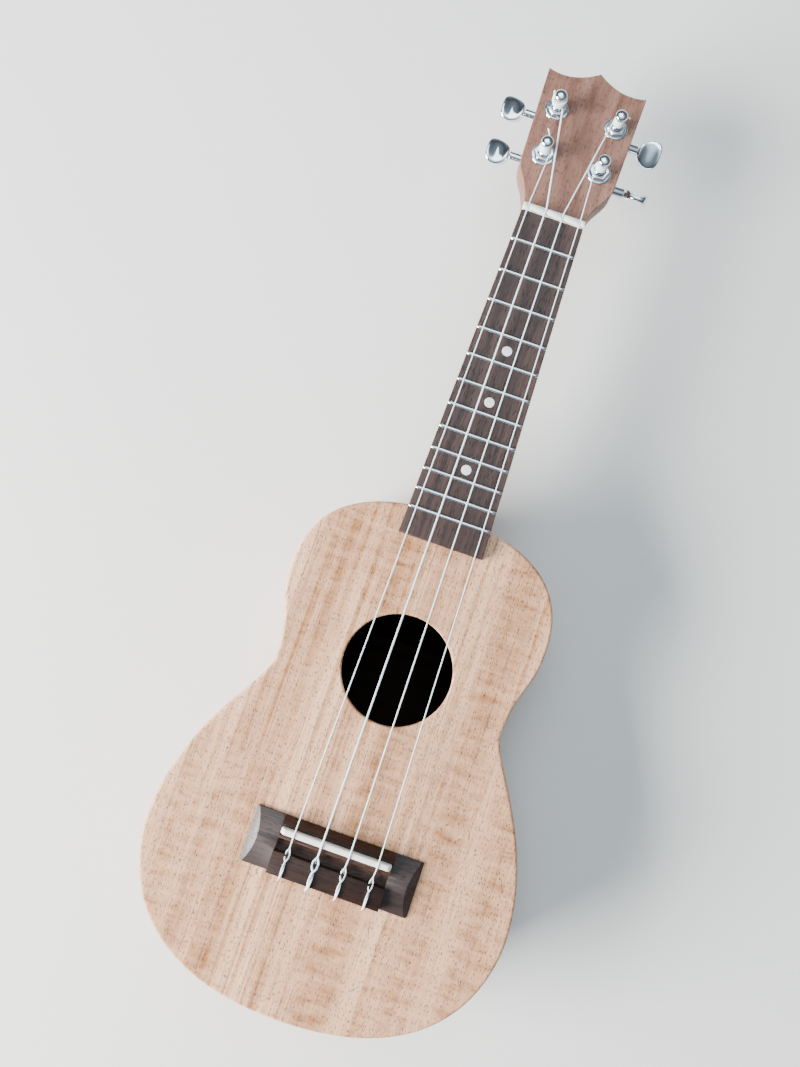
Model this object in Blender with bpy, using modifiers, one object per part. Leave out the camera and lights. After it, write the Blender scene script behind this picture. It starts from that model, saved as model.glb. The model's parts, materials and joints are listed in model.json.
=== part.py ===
"""Soprano ukulele with four geared tuners, lying on its back.

+Y runs from the tail to the headstock, +X to the treble side and +Z out of the soundboard.
The origin is at the middle of the outer length, on the flat underside of the back.
All sizes are in metres.
"""

import math

import bmesh
import bpy
from mathutils import Matrix, Vector

# Clearances and mesh fineness
GAP = 0.0003                     # between pieces that rest on each other
WELD = 0.000001                  # merges the caps of a converted curve
CURVE_STEPS = 8                  # points on each short stretch of the body outline
ROUND_STEPS = 20                 # sides of a turned piece
SMALL_STEPS = 12                 # sides of a small bore
POST_STEPS = 16                  # sides of a string post

# Scale and fretboard
SCALE_LENGTH = 0.346             # nut to saddle, as the frets divide it
FRET_COUNT = 12
BODY_FRET = 12                   # this fret stands over y = 0
NUT_SETBACK = 0.002              # the nut stands this far inside the scale's start
FRETBOARD_THICKNESS = 0.0044
FRETBOARD_WIDTH_AT_NUT = 0.0346
FRETBOARD_WIDTH_AT_BODY = 0.0447
FRETBOARD_OVERHANG = 0.0144      # runs this far over the soundboard
FRET_WIDTH = 0.0022
FRET_HEIGHT = 0.0009
FRET_TANG_WIDTH = 0.0005
FRET_TANG_DEPTH = 0.0016
FRET_CROWN_STEPS = 6
FRET_END_INSET = 0.0002           # the crown stops this far inside the board's edge

# Nut and strings
NUT_THICKNESS = 0.0037
NUT_TOP = 0.0023                 # above the fretboard's face
NUT_BACK_DROP = 0.0009           # the nut's top falls away by this much towards the headstock
NUT_CREST_FROM_BACK = 0.0012
NUT_CREST_FROM_FRONT = 0.0010
NUT_CREST_DROP = 0.0002
NUT_FRONT_DROP = 0.0004
STRING_NAMES = ("g", "c", "e", "a")
STRING_DIAMETERS = (0.00071, 0.00102, 0.00081, 0.00066)
STRING_SPACING_AT_NUT = 0.0096
STRING_SPACING_AT_SADDLE = 0.01455
STRING_HEIGHT_AT_NUT = 0.0005    # under the string, above the frets
STRING_HEIGHT_AT_BODY_FRET = 0.0022
STRING_BEND_TIGHT = 0.0003       # how far each corner of the string's tie is cut
STRING_BEND_WIDE = 0.0010

# Body
BODY_DEPTH = 0.060
BODY_LENGTH = 0.2657
BODY_END = 0.0027                # the body's neck end lies this far past the body fret
LOWER_BOUT_HALF_WIDTH = 0.0955
WAIST_HALF_WIDTH = 0.0611
UPPER_BOUT_HALF_WIDTH = 0.0698
LOWER_BOUT_FROM_TAIL = 0.0731
WAIST_FROM_TAIL = 0.1663
UPPER_BOUT_FROM_TAIL = 0.2162
# Fullness of the outline: each handle's length as a share of the stretch it shapes
TAIL_FULLNESS = 0.939
LOWER_BOUT_FULLNESS_TO_TAIL = 0.203
LOWER_BOUT_FULLNESS_TO_WAIST = 0.509
WAIST_FULLNESS_TO_TAIL = 0.120
WAIST_FULLNESS_TO_NECK = 0.517
UPPER_BOUT_FULLNESS_TO_TAIL = 0.467
UPPER_BOUT_FULLNESS_TO_NECK = 0.640
NECK_END_FULLNESS = 0.675
TOP_THICKNESS = 0.0022
BACK_THICKNESS = 0.0022
SIDE_THICKNESS = 0.0020
SOUND_HOLE_RADIUS = 0.0287
SOUND_HOLE_FROM_BODY_FRET = 0.0821

# Inside the body
LINING_WIDTH = 0.0045
LINING_HEIGHT = 0.0080
BLOCK_HALF_WIDTH = 0.024
TAIL_BLOCK_LENGTH = 0.012
NECK_BLOCK_LENGTH = 0.020
BRACE_WIDTH = 0.006
BRACE_HEIGHT = 0.008
UPPER_TOP_BRACE_FROM_BODY_FRET = 0.043
LOWER_TOP_BRACE_FROM_BODY_FRET = 0.122
UPPER_BACK_BRACE_FROM_TAIL = 0.190
LOWER_BACK_BRACE_FROM_TAIL = 0.090
BRIDGE_PLATE_THICKNESS = 0.0025
BRIDGE_PLATE_HALF_WIDTH = 0.036
BRIDGE_PLATE_LENGTH = 0.034

# Neck and headstock
NECK_DEPTH_AT_NUT = 0.0125
NECK_DEPTH_AT_HEEL = 0.0150
HEEL_DEPTH = 0.052
HEEL_LENGTH = 0.044
HEEL_FOOT = 0.90                 # share of the heel's full curve that is cut flat at its foot
NECK_SECTION_STEPS = 18
NECK_SECTION_FULLNESS = 0.8      # power of the cosine across the section
NECK_LIP = 0.0016                # straight wood under the fretboard, above the curve
HEEL_CURVE = 2.6                 # power by which the heel falls into the neck
HEEL_STATIONS = (0.0, 0.05, 0.12, 0.2, 0.3, 0.42, 0.56, 0.75, 1.0)
NECK_STATIONS = (0.35, 0.7, 0.97)
# The volute, behind the nut: how far ahead each section is, how much narrower and shallower
VOLUTE_BELOW_FRETBOARD = 0.0015
VOLUTE_SECTIONS = (
    (0.003, 0.0003, 0.0004),
    (0.009, 0.0015, 0.0013),
    (0.016, 0.0060, 0.0030),
)
HEADSTOCK_TILT = math.radians(5.0)
HEADSTOCK_THICKNESS = 0.0120
HEADSTOCK_BEHIND_NUT = 0.0004
HEADSTOCK_FACE_BELOW_FRETBOARD = 0.0032
HEADSTOCK_LENGTH = 0.0917        # to the middle peak
HEADSTOCK_CORNER = 0.0854        # to the outer corners
HEADSTOCK_HALF_WIDTH_AT_TIP = 0.0286
HEADSTOCK_HALF_WIDTH_AT_SHOULDER = 0.0269
HEADSTOCK_SHOULDER = 0.027
HEADSTOCK_SCALLOP_LOW = 0.0200   # the scallop's lowest point, from the centre line
HEADSTOCK_SCALLOP_STEPS = 12
# The S curve from the nut to the shoulder: shares of the shoulder's distance, and how far out
HEADSTOCK_CURVE_MIDDLE = 0.54
HEADSTOCK_HANDLE_AT_NUT = (0.0007, 0.22)
HEADSTOCK_HANDLE_AT_MIDDLE = (0.0023, 0.15)
HEADSTOCK_HANDLE_AT_SHOULDER = (0.0003, 0.80)

# Bridge and saddle
BRIDGE_HALF_LENGTH = 0.0443
BRIDGE_BLOCK_HALF_LENGTH = 0.0293
BRIDGE_FRONT_TO_SADDLE = 0.0060
BRIDGE_DEPTH = 0.0282
BRIDGE_HEIGHT = 0.0063
BRIDGE_EDGE_HEIGHT = 0.0012
BRIDGE_WING_RISE = 0.0032
BRIDGE_WING_BEVEL = 0.0050
SADDLE_BACK_LEDGE = 0.0024       # wood between the saddle and the trough
TROUGH_LENGTH = 0.0066
TROUGH_FLOOR = 0.0022
TROUGH_END_WALL = 0.0004
SADDLE_BED_AHEAD = 0.0012        # level wood in front of the saddle
SADDLE_BED_DROP = 0.0002         # below the tie block's top
BRIDGE_FRONT_BELLY = 0.0016      # how far the front slope is below the top, half way down it
TIE_BLOCK_FRONT_EASING = (0.0006, 0.0004)
TIE_BLOCK_REAR_EASING = (0.0008, 0.0008)
SADDLE_THICKNESS = 0.0030
SADDLE_SLOT_DEPTH = 0.0036
SADDLE_HALF_LENGTH = 0.0288
SADDLE_CORNER_STEPS = 6
TIE_HOLE_RADIUS = 0.0009
TIE_HOLE_HEIGHT = 0.0034

# Tuners, measured on the headstock: along it from its start, across it, and off its face
TUNER_NEAR = 0.0323
TUNER_FAR = 0.0613
TUNER_NEAR_HALF_SPREAD = 0.0160
TUNER_FAR_HALF_SPREAD = 0.0172
POST_RADIUS = 0.0030
POST_WAIST_RADIUS = 0.0022
POST_CAP_RADIUS = 0.0035
POST_HEIGHT = 0.0130
# The post's domed cap: shares of its radius, and how far below its top
POST_CAP_PROFILE = ((0.0, 0.0), (0.55, 0.0001), (0.92, 0.0009), (1.0, 0.0020), (0.86, 0.0031))
POST_CAP_HEIGHT = 0.0040
POST_NECK_RISE = 0.0010          # the post narrows over this height above its bushing
POST_HOLE_RADIUS = 0.0009
POST_HOLE_HEIGHT = 0.0080
POST_FOOT_RADIUS = 0.0018
POST_CLEARANCE = 0.0003
BUSHING_WALL = 0.0012
WASHER_RADIUS = 0.0068
WASHER_THICKNESS = 0.0013
COLLAR_HEIGHT = 0.0028
COLLAR_FLARE = 0.0004
WASHER_EASING = 0.0006
BUSHING_SHORT_OF_BACK = 0.0010
WINDING_HEIGHT = 0.0050          # where the string meets its post
WINDING_RADIUS = 0.0034
CASE_WALL = 0.0012
CASE_CLEARANCE = 0.0005
CASE_DEPTH = 0.0105
CASE_ROUNDING = 0.6              # of its wall
SHAFT_BELOW_HEADSTOCK = 0.0058
GEAR_TEETH = 14
WORM_PITCH = 0.00165
WORM_CORE_RADIUS = 0.00175
WORM_THREAD_RADIUS = 0.00035     # of the round thread itself
WORM_THREAD_AT = 0.0020          # the thread's middle, from the shaft's axis
WORM_TURNS = 3.0
WORM_STEPS_A_TURN = 8
GEAR_THICKNESS = 0.0022
GEAR_TOOTH_SHARE = 0.32          # of the pitch, at the tooth's tip
GEAR_TOOTH_FLARE = 1.5           # a tooth's width at its root, as a share of its tip's
MESH_CLEARANCE = 0.00015
SHAFT_RADIUS = 0.0014
SHAFT_END_RADIUS = 0.0011
SLEEVE_RADIUS = 0.0029
KNOB_START = 0.0345              # from the centre line
KNOB_LENGTH = 0.0132
KNOB_HALF_WIDTH = 0.0078
KNOB_HALF_THICKNESS = 0.0033
KNOB_WAIST = 0.60                # thickness at the knob's middle, as a share of its full one
KNOB_BORE_DEPTH = 0.0050
KNOB_SECTION_STEPS = 16
KNOB_EDGE_FULLNESS = 0.75        # powers that make its section a rounded rectangle
KNOB_FACE_FULLNESS = 0.60
# Rings from the shaft outwards: share of the length, then of the full width and thickness
KNOB_SECTIONS = (
    (0.0, 0.46, 0.80),
    (0.06, 0.60, 0.98),
    (0.16, 0.76, 0.92),
    (0.34, 0.92, KNOB_WAIST + 0.10),
    (0.52, 1.0, KNOB_WAIST),
    (0.70, 1.0, KNOB_WAIST + 0.14),
    (0.86, 0.90, 0.90),
    (0.95, 0.72, 0.98),
    (1.0, 0.52, 0.80),
)
# string, side of the headstock, place along it, half spread, and how far the knob stands turned
TUNERS = (
    ("g", -1, TUNER_NEAR, TUNER_NEAR_HALF_SPREAD, 0.0),
    ("c", -1, TUNER_FAR, TUNER_FAR_HALF_SPREAD, 0.0),
    ("e", 1, TUNER_FAR, TUNER_FAR_HALF_SPREAD, 35.0),
    ("a", 1, TUNER_NEAR, TUNER_NEAR_HALF_SPREAD, -55.0),
)

# Derived places, with y = 0 under the body fret
TAIL_Y = BODY_END - BODY_LENGTH
SCALE_START_Y = SCALE_LENGTH * (1.0 - 2.0 ** (-BODY_FRET / 12.0))
SADDLE_Y = SCALE_START_Y - SCALE_LENGTH - SADDLE_THICKNESS / 4.0
NUT_FRONT_Y = SCALE_START_Y - NUT_SETBACK
FRETBOARD_END_Y = NUT_FRONT_Y - GAP
NUT_BACK_Y = NUT_FRONT_Y + NUT_THICKNESS
FRETBOARD_FACE_Z = BODY_DEPTH + GAP + FRETBOARD_THICKNESS
FRET_TOP_Z = FRETBOARD_FACE_Z + GAP + FRET_HEIGHT
NUT_STRING_Z = FRET_TOP_Z + STRING_HEIGHT_AT_NUT
BODY_FRET_STRING_Z = FRET_TOP_Z + STRING_HEIGHT_AT_BODY_FRET
SADDLE_STRING_Z = NUT_STRING_Z + (BODY_FRET_STRING_Z - NUT_STRING_Z) * (
    (NUT_FRONT_Y - SADDLE_Y) / NUT_FRONT_Y
)
HEADSTOCK_Y = NUT_BACK_Y + HEADSTOCK_BEHIND_NUT
HEADSTOCK_Z = FRETBOARD_FACE_Z - HEADSTOCK_FACE_BELOW_FRETBOARD
TIP_Y = HEADSTOCK_Y + HEADSTOCK_LENGTH * math.cos(HEADSTOCK_TILT)
MIDDLE_Y = (TIP_Y + TAIL_Y) / 2.0
BRIDGE_FRONT_Y = SADDLE_Y + BRIDGE_FRONT_TO_SADDLE
BRIDGE_REAR_Y = BRIDGE_FRONT_Y - BRIDGE_DEPTH
TROUGH_FRONT_Y = SADDLE_Y - SADDLE_THICKNESS / 2.0 - GAP - SADDLE_BACK_LEDGE
TROUGH_REAR_Y = TROUGH_FRONT_Y - TROUGH_LENGTH
BRIDGE_Z = BODY_DEPTH + GAP
GEAR_PITCH_RADIUS = GEAR_TEETH * WORM_PITCH / (2.0 * math.pi)
THREAD_CREST_RADIUS = WORM_THREAD_AT + WORM_THREAD_RADIUS
SHAFT_DISTANCE = GEAR_PITCH_RADIUS + WORM_CORE_RADIUS + MESH_CLEARANCE
GEAR_TIP_RADIUS = GEAR_PITCH_RADIUS
GEAR_ROOT_RADIUS = SHAFT_DISTANCE - THREAD_CREST_RADIUS - 2.0 * MESH_CLEARANCE
SHAFT_Z = -HEADSTOCK_THICKNESS - SHAFT_BELOW_HEADSTOCK


def clear_scene():
    for obj in list(bpy.data.objects):
        bpy.data.objects.remove(obj, do_unlink=True)
    for collection in list(bpy.data.collections):
        bpy.data.collections.remove(collection)


def new_collection(name):
    collection = bpy.data.collections.new(name)
    bpy.context.scene.collection.children.link(collection)
    return collection


def make_material(name, color, roughness, metallic=0.0):
    material = bpy.data.materials.new(name)
    material.use_nodes = True
    shader = material.node_tree.nodes["Principled BSDF"]
    shader.inputs["Base Color"].default_value = (*color, 1.0)
    shader.inputs["Roughness"].default_value = roughness
    shader.inputs["Metallic"].default_value = metallic
    return material


clear_scene()
PARTS = new_collection("ukulele")
CUTTERS = new_collection("cutters")
TOP_WOOD = make_material("soundboard_wood", (0.60, 0.38, 0.25), 0.45)
BODY_WOOD = make_material("body_wood", (0.50, 0.30, 0.19), 0.5)
NECK_WOOD = make_material("neck_wood", (0.52, 0.33, 0.23), 0.5)
INNER_WOOD = make_material("inner_wood", (0.68, 0.52, 0.36), 0.7)
DARK_WOOD = make_material("dark_wood", (0.10, 0.065, 0.05), 0.5)
WHITE_BONE = make_material("white_bone", (0.86, 0.85, 0.80), 0.35)
NYLON = make_material("clear_nylon", (0.85, 0.87, 0.88), 0.25)
FRET_METAL = make_material("fret_metal", (0.72, 0.71, 0.68), 0.25, 1.0)
CHROME = make_material("chrome", (0.80, 0.81, 0.83), 0.08, 1.0)
BRASS = make_material("brass", (0.78, 0.58, 0.25), 0.3, 1.0)
STEEL = make_material("steel", (0.55, 0.55, 0.56), 0.3, 1.0)


def place(obj, parent, material):
    """Puts a finished object in the instrument, under its parent empty."""
    PARTS.objects.link(obj)
    obj.parent = parent
    obj.data.materials.clear()
    obj.data.materials.append(material)
    if obj.type == "MESH":
        obj.data.shade_smooth()
        obj.data.set_sharp_from_angle(angle=math.radians(32.0))
    return obj


def place_cutter(obj, parent):
    """Keeps a helper shape out of the instrument, under the same parent as what it cuts."""
    CUTTERS.objects.link(obj)
    obj.parent = parent
    obj.hide_render = True
    obj.display_type = "WIRE"
    return obj


def add_empty(name, parent, location, rotation=(0.0, 0.0, 0.0)):
    empty = bpy.data.objects.new(name, None)
    empty.empty_display_size = 0.01
    empty.location = location
    empty.rotation_euler = rotation
    empty.parent = parent
    PARTS.objects.link(empty)
    return empty


def mesh_object(name, bm):
    bmesh.ops.recalc_face_normals(bm, faces=bm.faces)
    mesh = bpy.data.meshes.new(name)
    bm.to_mesh(mesh)
    bm.free()
    return bpy.data.objects.new(name, mesh)


def converted(curve_object):
    """The curve object's solid as a mesh object in its place, with its caps welded."""
    name = curve_object.name
    bpy.context.scene.collection.objects.link(curve_object)
    bpy.context.view_layer.update()
    graph = bpy.context.evaluated_depsgraph_get()
    mesh = bpy.data.meshes.new_from_object(curve_object.evaluated_get(graph))
    matrix = curve_object.matrix_world.copy()
    bpy.data.objects.remove(curve_object, do_unlink=True)
    bm = bmesh.new()
    bm.from_mesh(mesh)
    bpy.data.meshes.remove(mesh)
    bmesh.ops.remove_doubles(bm, verts=bm.verts, dist=WELD)
    made = mesh_object(name, bm)
    made.matrix_world = matrix
    return made


def flat_solid(name, outlines, low, high):
    """A plate between two heights: the first outline is its edge and the others are holes."""
    curve = bpy.data.curves.new(name, "CURVE")
    curve.dimensions = "2D"
    curve.fill_mode = "BOTH"
    curve.extrude = (high - low) / 2.0
    for outline in outlines:
        spline = curve.splines.new("POLY")
        spline.points.add(len(outline) - 1)
        for point, (x, y) in zip(spline.points, outline):
            point.co = (x, y, 0.0, 1.0)
        spline.use_cyclic_u = True
    obj = bpy.data.objects.new(name, curve)
    obj.location = (0.0, 0.0, (low + high) / 2.0)
    return converted(obj)


def cross_solid(name, outlines, half_length):
    """A bar along X, centred on x = 0, whose cross-section is drawn in Y and Z."""
    obj = flat_solid(name, outlines, -half_length, half_length)
    turn = Matrix(((0.0, 0.0, 1.0), (1.0, 0.0, 0.0), (0.0, 1.0, 0.0))).to_4x4()
    obj.data.transform(turn)
    return obj


def box_solid(name, low, high):
    bm = bmesh.new()
    bmesh.ops.create_cube(bm, size=1.0)
    size = Vector(high) - Vector(low)
    bmesh.ops.scale(bm, vec=size, verts=bm.verts)
    bmesh.ops.translate(bm, vec=(Vector(low) + Vector(high)) / 2.0, verts=bm.verts)
    return mesh_object(name, bm)


def rod_solid(name, radius, length, axis="Z", steps=SMALL_STEPS):
    """A plain cylinder along an axis, centred on the origin."""
    bm = bmesh.new()
    bmesh.ops.create_cone(
        bm,
        cap_ends=True,
        segments=steps,
        radius1=radius,
        radius2=radius,
        depth=length,
    )
    if axis == "X":
        bmesh.ops.rotate(bm, verts=bm.verts, matrix=Matrix.Rotation(math.pi / 2.0, 3, "Y"))
    if axis == "Y":
        bmesh.ops.rotate(bm, verts=bm.verts, matrix=Matrix.Rotation(math.pi / 2.0, 3, "X"))
    return mesh_object(name, bm)


def turned_solid(name, profile, closed, steps=ROUND_STEPS):
    """A profile of radii and heights, running down its outer side, turned about Z."""
    bm = bmesh.new()
    points = [bm.verts.new((radius, 0.0, height)) for radius, height in profile]
    for first, second in zip(points, points[1:]):
        bm.edges.new((first, second))
    if closed:
        bm.edges.new((points[-1], points[0]))
    mesh = bpy.data.meshes.new(name)
    bm.to_mesh(mesh)
    bm.free()
    obj = bpy.data.objects.new(name, mesh)
    screw = obj.modifiers.new("turn", "SCREW")
    screw.steps = steps
    screw.render_steps = steps
    screw.use_merge_vertices = True
    screw.merge_threshold = 0.00001
    return obj


def lofted_solid(name, sections):
    """A skin through rings of equally many points, closed at both ends."""
    bm = bmesh.new()
    rings = [[bm.verts.new(point) for point in section] for section in sections]
    for ring, following in zip(rings, rings[1:]):
        count = len(ring)
        for index in range(count):
            after = (index + 1) % count
            bm.faces.new((ring[index], ring[after], following[after], following[index]))
    bm.faces.new(rings[0])
    bm.faces.new(rings[-1])
    return mesh_object(name, bm)


def combine(obj, other, operation):
    modifier = obj.modifiers.new(other.name, "BOOLEAN")
    modifier.operation = operation
    modifier.object = other
    modifier.solver = "EXACT"


def circle(radius, steps, x=0.0, y=0.0):
    turns = [2.0 * math.pi * index / steps for index in range(steps)]
    return [(x + radius * math.cos(turn), y + radius * math.sin(turn)) for turn in turns]


def bezier(start, start_handle, end_handle, end, steps):
    """Points along one cubic stretch, without its last point."""
    points = []
    for index in range(steps):
        t = index / steps
        near, far = 1.0 - t, t
        weights = (near**3, 3.0 * near**2 * far, 3.0 * near * far**2, far**3)
        corners = (start, start_handle, end_handle, end)
        x = sum(weight * corner[0] for weight, corner in zip(weights, corners))
        y = sum(weight * corner[1] for weight, corner in zip(weights, corners))
        points.append((x, y))
    return points


def half_outline():
    """The body's edge on the treble side, from the tail's middle to the neck end's middle."""
    lower_y = TAIL_Y + LOWER_BOUT_FROM_TAIL
    waist_y = TAIL_Y + WAIST_FROM_TAIL
    upper_y = TAIL_Y + UPPER_BOUT_FROM_TAIL
    tail_span = lower_y - TAIL_Y
    lower_span = waist_y - lower_y
    upper_span = upper_y - waist_y
    end_span = BODY_END - upper_y
    points = bezier(
        (0.0, TAIL_Y),
        (TAIL_FULLNESS * LOWER_BOUT_HALF_WIDTH, TAIL_Y),
        (LOWER_BOUT_HALF_WIDTH, lower_y - LOWER_BOUT_FULLNESS_TO_TAIL * tail_span),
        (LOWER_BOUT_HALF_WIDTH, lower_y),
        2 * CURVE_STEPS,
    )
    points += bezier(
        (LOWER_BOUT_HALF_WIDTH, lower_y),
        (LOWER_BOUT_HALF_WIDTH, lower_y + LOWER_BOUT_FULLNESS_TO_WAIST * lower_span),
        (WAIST_HALF_WIDTH, waist_y - WAIST_FULLNESS_TO_TAIL * lower_span),
        (WAIST_HALF_WIDTH, waist_y),
        CURVE_STEPS,
    )
    points += bezier(
        (WAIST_HALF_WIDTH, waist_y),
        (WAIST_HALF_WIDTH, waist_y + WAIST_FULLNESS_TO_NECK * upper_span),
        (UPPER_BOUT_HALF_WIDTH, upper_y - UPPER_BOUT_FULLNESS_TO_TAIL * upper_span),
        (UPPER_BOUT_HALF_WIDTH, upper_y),
        CURVE_STEPS,
    )
    points += bezier(
        (UPPER_BOUT_HALF_WIDTH, upper_y),
        (UPPER_BOUT_HALF_WIDTH, upper_y + UPPER_BOUT_FULLNESS_TO_NECK * end_span),
        (NECK_END_FULLNESS * UPPER_BOUT_HALF_WIDTH, BODY_END),
        (0.0, BODY_END),
        2 * CURVE_STEPS,
    )
    return points + [(0.0, BODY_END)]


def inset(points, distance):
    """The half outline moved inwards, square to itself."""
    moved = []
    last = len(points) - 1
    for index, (x, y) in enumerate(points):
        before = Vector(points[max(index - 1, 0)])
        after = Vector(points[min(index + 1, last)])
        along = (after - before).normalized()
        moved.append((x - along.y * distance, y + along.x * distance))
    moved[0] = (0.0, points[0][1] + distance)
    moved[last] = (0.0, points[last][1] - distance)
    return moved


def half_width_at(points, y):
    """How far from the centre line the half outline is at this y."""
    widths = []
    for (x1, y1), (x2, y2) in zip(points, points[1:]):
        if min(y1, y2) <= y <= max(y1, y2) and y1 != y2:
            widths.append(x1 + (x2 - x1) * (y - y1) / (y2 - y1))
    return max(widths)


EDGE = half_outline()
SIDE_INNER = inset(EDGE, SIDE_THICKNESS)
LINING_OUTER = inset(EDGE, SIDE_THICKNESS + GAP)
LINING_INNER = inset(EDGE, SIDE_THICKNESS + GAP + LINING_WIDTH)
SIDES = (("bass", -1.0), ("treble", 1.0))


def mirrored(points, side):
    return [(side * x, y) for x, y in points]


def make_plates(root):
    whole = EDGE + [(-x, y) for x, y in reversed(EDGE[1:-1])]
    sound_hole = circle(SOUND_HOLE_RADIUS, 2 * ROUND_STEPS, y=-SOUND_HOLE_FROM_BODY_FRET)
    top = flat_solid("top_plate", [whole, sound_hole], BODY_DEPTH - TOP_THICKNESS, BODY_DEPTH)
    place(top, root, TOP_WOOD)
    back = flat_solid("back_plate", [whole], 0.0, BACK_THICKNESS)
    place(back, root, BODY_WOOD)


def make_sides(root):
    low = BACK_THICKNESS + GAP
    high = BODY_DEPTH - TOP_THICKNESS - GAP
    for name, side in SIDES:
        strip = [(max(x, GAP / 2.0), y) for x, y in EDGE]
        strip += [(max(x, GAP / 2.0), y) for x, y in reversed(SIDE_INNER)]
        rib = flat_solid(f"side_{name}", [mirrored(strip, side)], low, high)
        place(rib, root, BODY_WOOD)


def make_linings(root):
    start = BLOCK_HALF_WIDTH + GAP
    pairs = [
        (outer, inner)
        for outer, inner in zip(LINING_OUTER, LINING_INNER)
        if min(outer[0], inner[0]) > start
    ]
    strip = [outer for outer, _ in pairs] + [inner for _, inner in reversed(pairs)]
    back_low = BACK_THICKNESS + GAP
    top_high = BODY_DEPTH - TOP_THICKNESS - GAP
    for name, side in SIDES:
        outline = [mirrored(strip, side)]
        back = flat_solid(f"back_lining_{name}", outline, back_low, back_low + LINING_HEIGHT)
        place(back, root, INNER_WOOD)
        top = flat_solid(f"top_lining_{name}", outline, top_high - LINING_HEIGHT, top_high)
        place(top, root, INNER_WOOD)


def block_outline(near_tail, length):
    """A block whose outer face follows the inside of the sides."""
    limit = BLOCK_HALF_WIDTH
    half = len(LINING_OUTER) // 2
    points = LINING_OUTER[:half] if near_tail else LINING_OUTER[half:]
    curved = sorted((x, y) for x, y in points if x < limit)
    middle_y = curved[0][1]
    edge_y = next(
        y1 + (y2 - y1) * (limit - x1) / (x2 - x1)
        for (x1, y1), (x2, y2) in zip(sorted(points), sorted(points)[1:])
        if x1 <= limit < x2
    )
    inner_y = middle_y + length if near_tail else middle_y - length
    right = curved + [(limit, edge_y), (limit, inner_y)]
    left = [(-x, y) for x, y in reversed(right) if x > 0.0]
    return right + left


def make_blocks(root):
    low = BACK_THICKNESS + GAP
    high = BODY_DEPTH - TOP_THICKNESS - GAP
    for name, near_tail, length in (
        ("tail_block", True, TAIL_BLOCK_LENGTH),
        ("neck_block", False, NECK_BLOCK_LENGTH),
    ):
        place(flat_solid(name, [block_outline(near_tail, length)], low, high), root, INNER_WOOD)


def make_braces(root):
    """Bars glued across the plates, scalloped down towards their ends."""
    under_top = BODY_DEPTH - TOP_THICKNESS - GAP
    over_back = BACK_THICKNESS + GAP
    for name, y, surface, direction in (
        ("top_brace_upper", -UPPER_TOP_BRACE_FROM_BODY_FRET, under_top, -1.0),
        ("top_brace_lower", -LOWER_TOP_BRACE_FROM_BODY_FRET, under_top, -1.0),
        ("back_brace_upper", TAIL_Y + UPPER_BACK_BRACE_FROM_TAIL, over_back, 1.0),
        ("back_brace_lower", TAIL_Y + LOWER_BACK_BRACE_FROM_TAIL, over_back, 1.0),
    ):
        reach = min(
            half_width_at(LINING_INNER, y - BRACE_WIDTH / 2.0),
            half_width_at(LINING_INNER, y + BRACE_WIDTH / 2.0),
        )
        half = reach - GAP
        full = surface + direction * BRACE_HEIGHT
        thin = surface + direction * BRACE_HEIGHT / 2.0
        shoulder = half - 2.0 * BRACE_HEIGHT
        outline = [
            (-half, surface),
            (half, surface),
            (half, thin),
            (shoulder, full),
            (-shoulder, full),
            (-half, thin),
        ]
        brace = flat_solid(name, [outline], -BRACE_WIDTH / 2.0, BRACE_WIDTH / 2.0)
        brace.data.transform(Matrix.Rotation(math.pi / 2.0, 4, "X"))
        brace.location = (0.0, y, 0.0)
        place(brace, root, INNER_WOOD)
    middle_y = (BRIDGE_FRONT_Y + BRIDGE_REAR_Y) / 2.0
    half = BRIDGE_PLATE_LENGTH / 2.0
    plate = box_solid(
        "bridge_plate",
        (-BRIDGE_PLATE_HALF_WIDTH, middle_y - half, under_top - BRIDGE_PLATE_THICKNESS),
        (BRIDGE_PLATE_HALF_WIDTH, middle_y + half, under_top),
    )
    place(plate, root, INNER_WOOD)


def fretboard_half_width(y):
    slope = (FRETBOARD_WIDTH_AT_BODY - FRETBOARD_WIDTH_AT_NUT) / NUT_FRONT_Y
    return (FRETBOARD_WIDTH_AT_NUT + slope * (NUT_FRONT_Y - y)) / 2.0


def fret_y(number):
    return SCALE_START_Y - SCALE_LENGTH * (1.0 - 2.0 ** (-number / 12.0))


def make_fretboard(root):
    end, start = FRETBOARD_END_Y, -FRETBOARD_OVERHANG
    outline = [
        (fretboard_half_width(start), start),
        (fretboard_half_width(end), end),
        (-fretboard_half_width(end), end),
        (-fretboard_half_width(start), start),
    ]
    board = flat_solid("fretboard", [outline], BODY_DEPTH + GAP, FRETBOARD_FACE_Z)
    half_slot = FRET_TANG_WIDTH / 2.0 + GAP
    for number in range(1, FRET_COUNT + 1):
        y = fret_y(number)
        slot = box_solid(
            f"fret_slot_{number:02d}",
            (-FRETBOARD_WIDTH_AT_BODY, y - half_slot, FRETBOARD_FACE_Z - FRET_TANG_DEPTH),
            (FRETBOARD_WIDTH_AT_BODY, y + half_slot, FRETBOARD_FACE_Z + FRET_HEIGHT),
        )
        combine(board, place_cutter(slot, root), "DIFFERENCE")
    place(board, root, DARK_WOOD)


def make_frets(root):
    """Each fret is a crown on a tang that stands in its slot."""
    half = FRET_WIDTH / 2.0
    tang = FRET_TANG_WIDTH / 2.0
    foot = GAP - FRET_TANG_DEPTH + GAP
    crown = []
    for index in range(FRET_CROWN_STEPS + 1):
        turn = math.pi * index / FRET_CROWN_STEPS
        crown.append((half * math.cos(turn), GAP + FRET_HEIGHT * math.sin(turn)))
    profile = crown + [(-tang, GAP), (-tang, foot), (tang, foot), (tang, GAP)]
    for number in range(1, FRET_COUNT + 1):
        y = fret_y(number)
        width = fretboard_half_width(y + half) - FRET_END_INSET
        fret = cross_solid(f"fret_{number:02d}", [profile], width)
        fret.location = (0.0, y, FRETBOARD_FACE_Z)
        place(fret, root, FRET_METAL)


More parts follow.
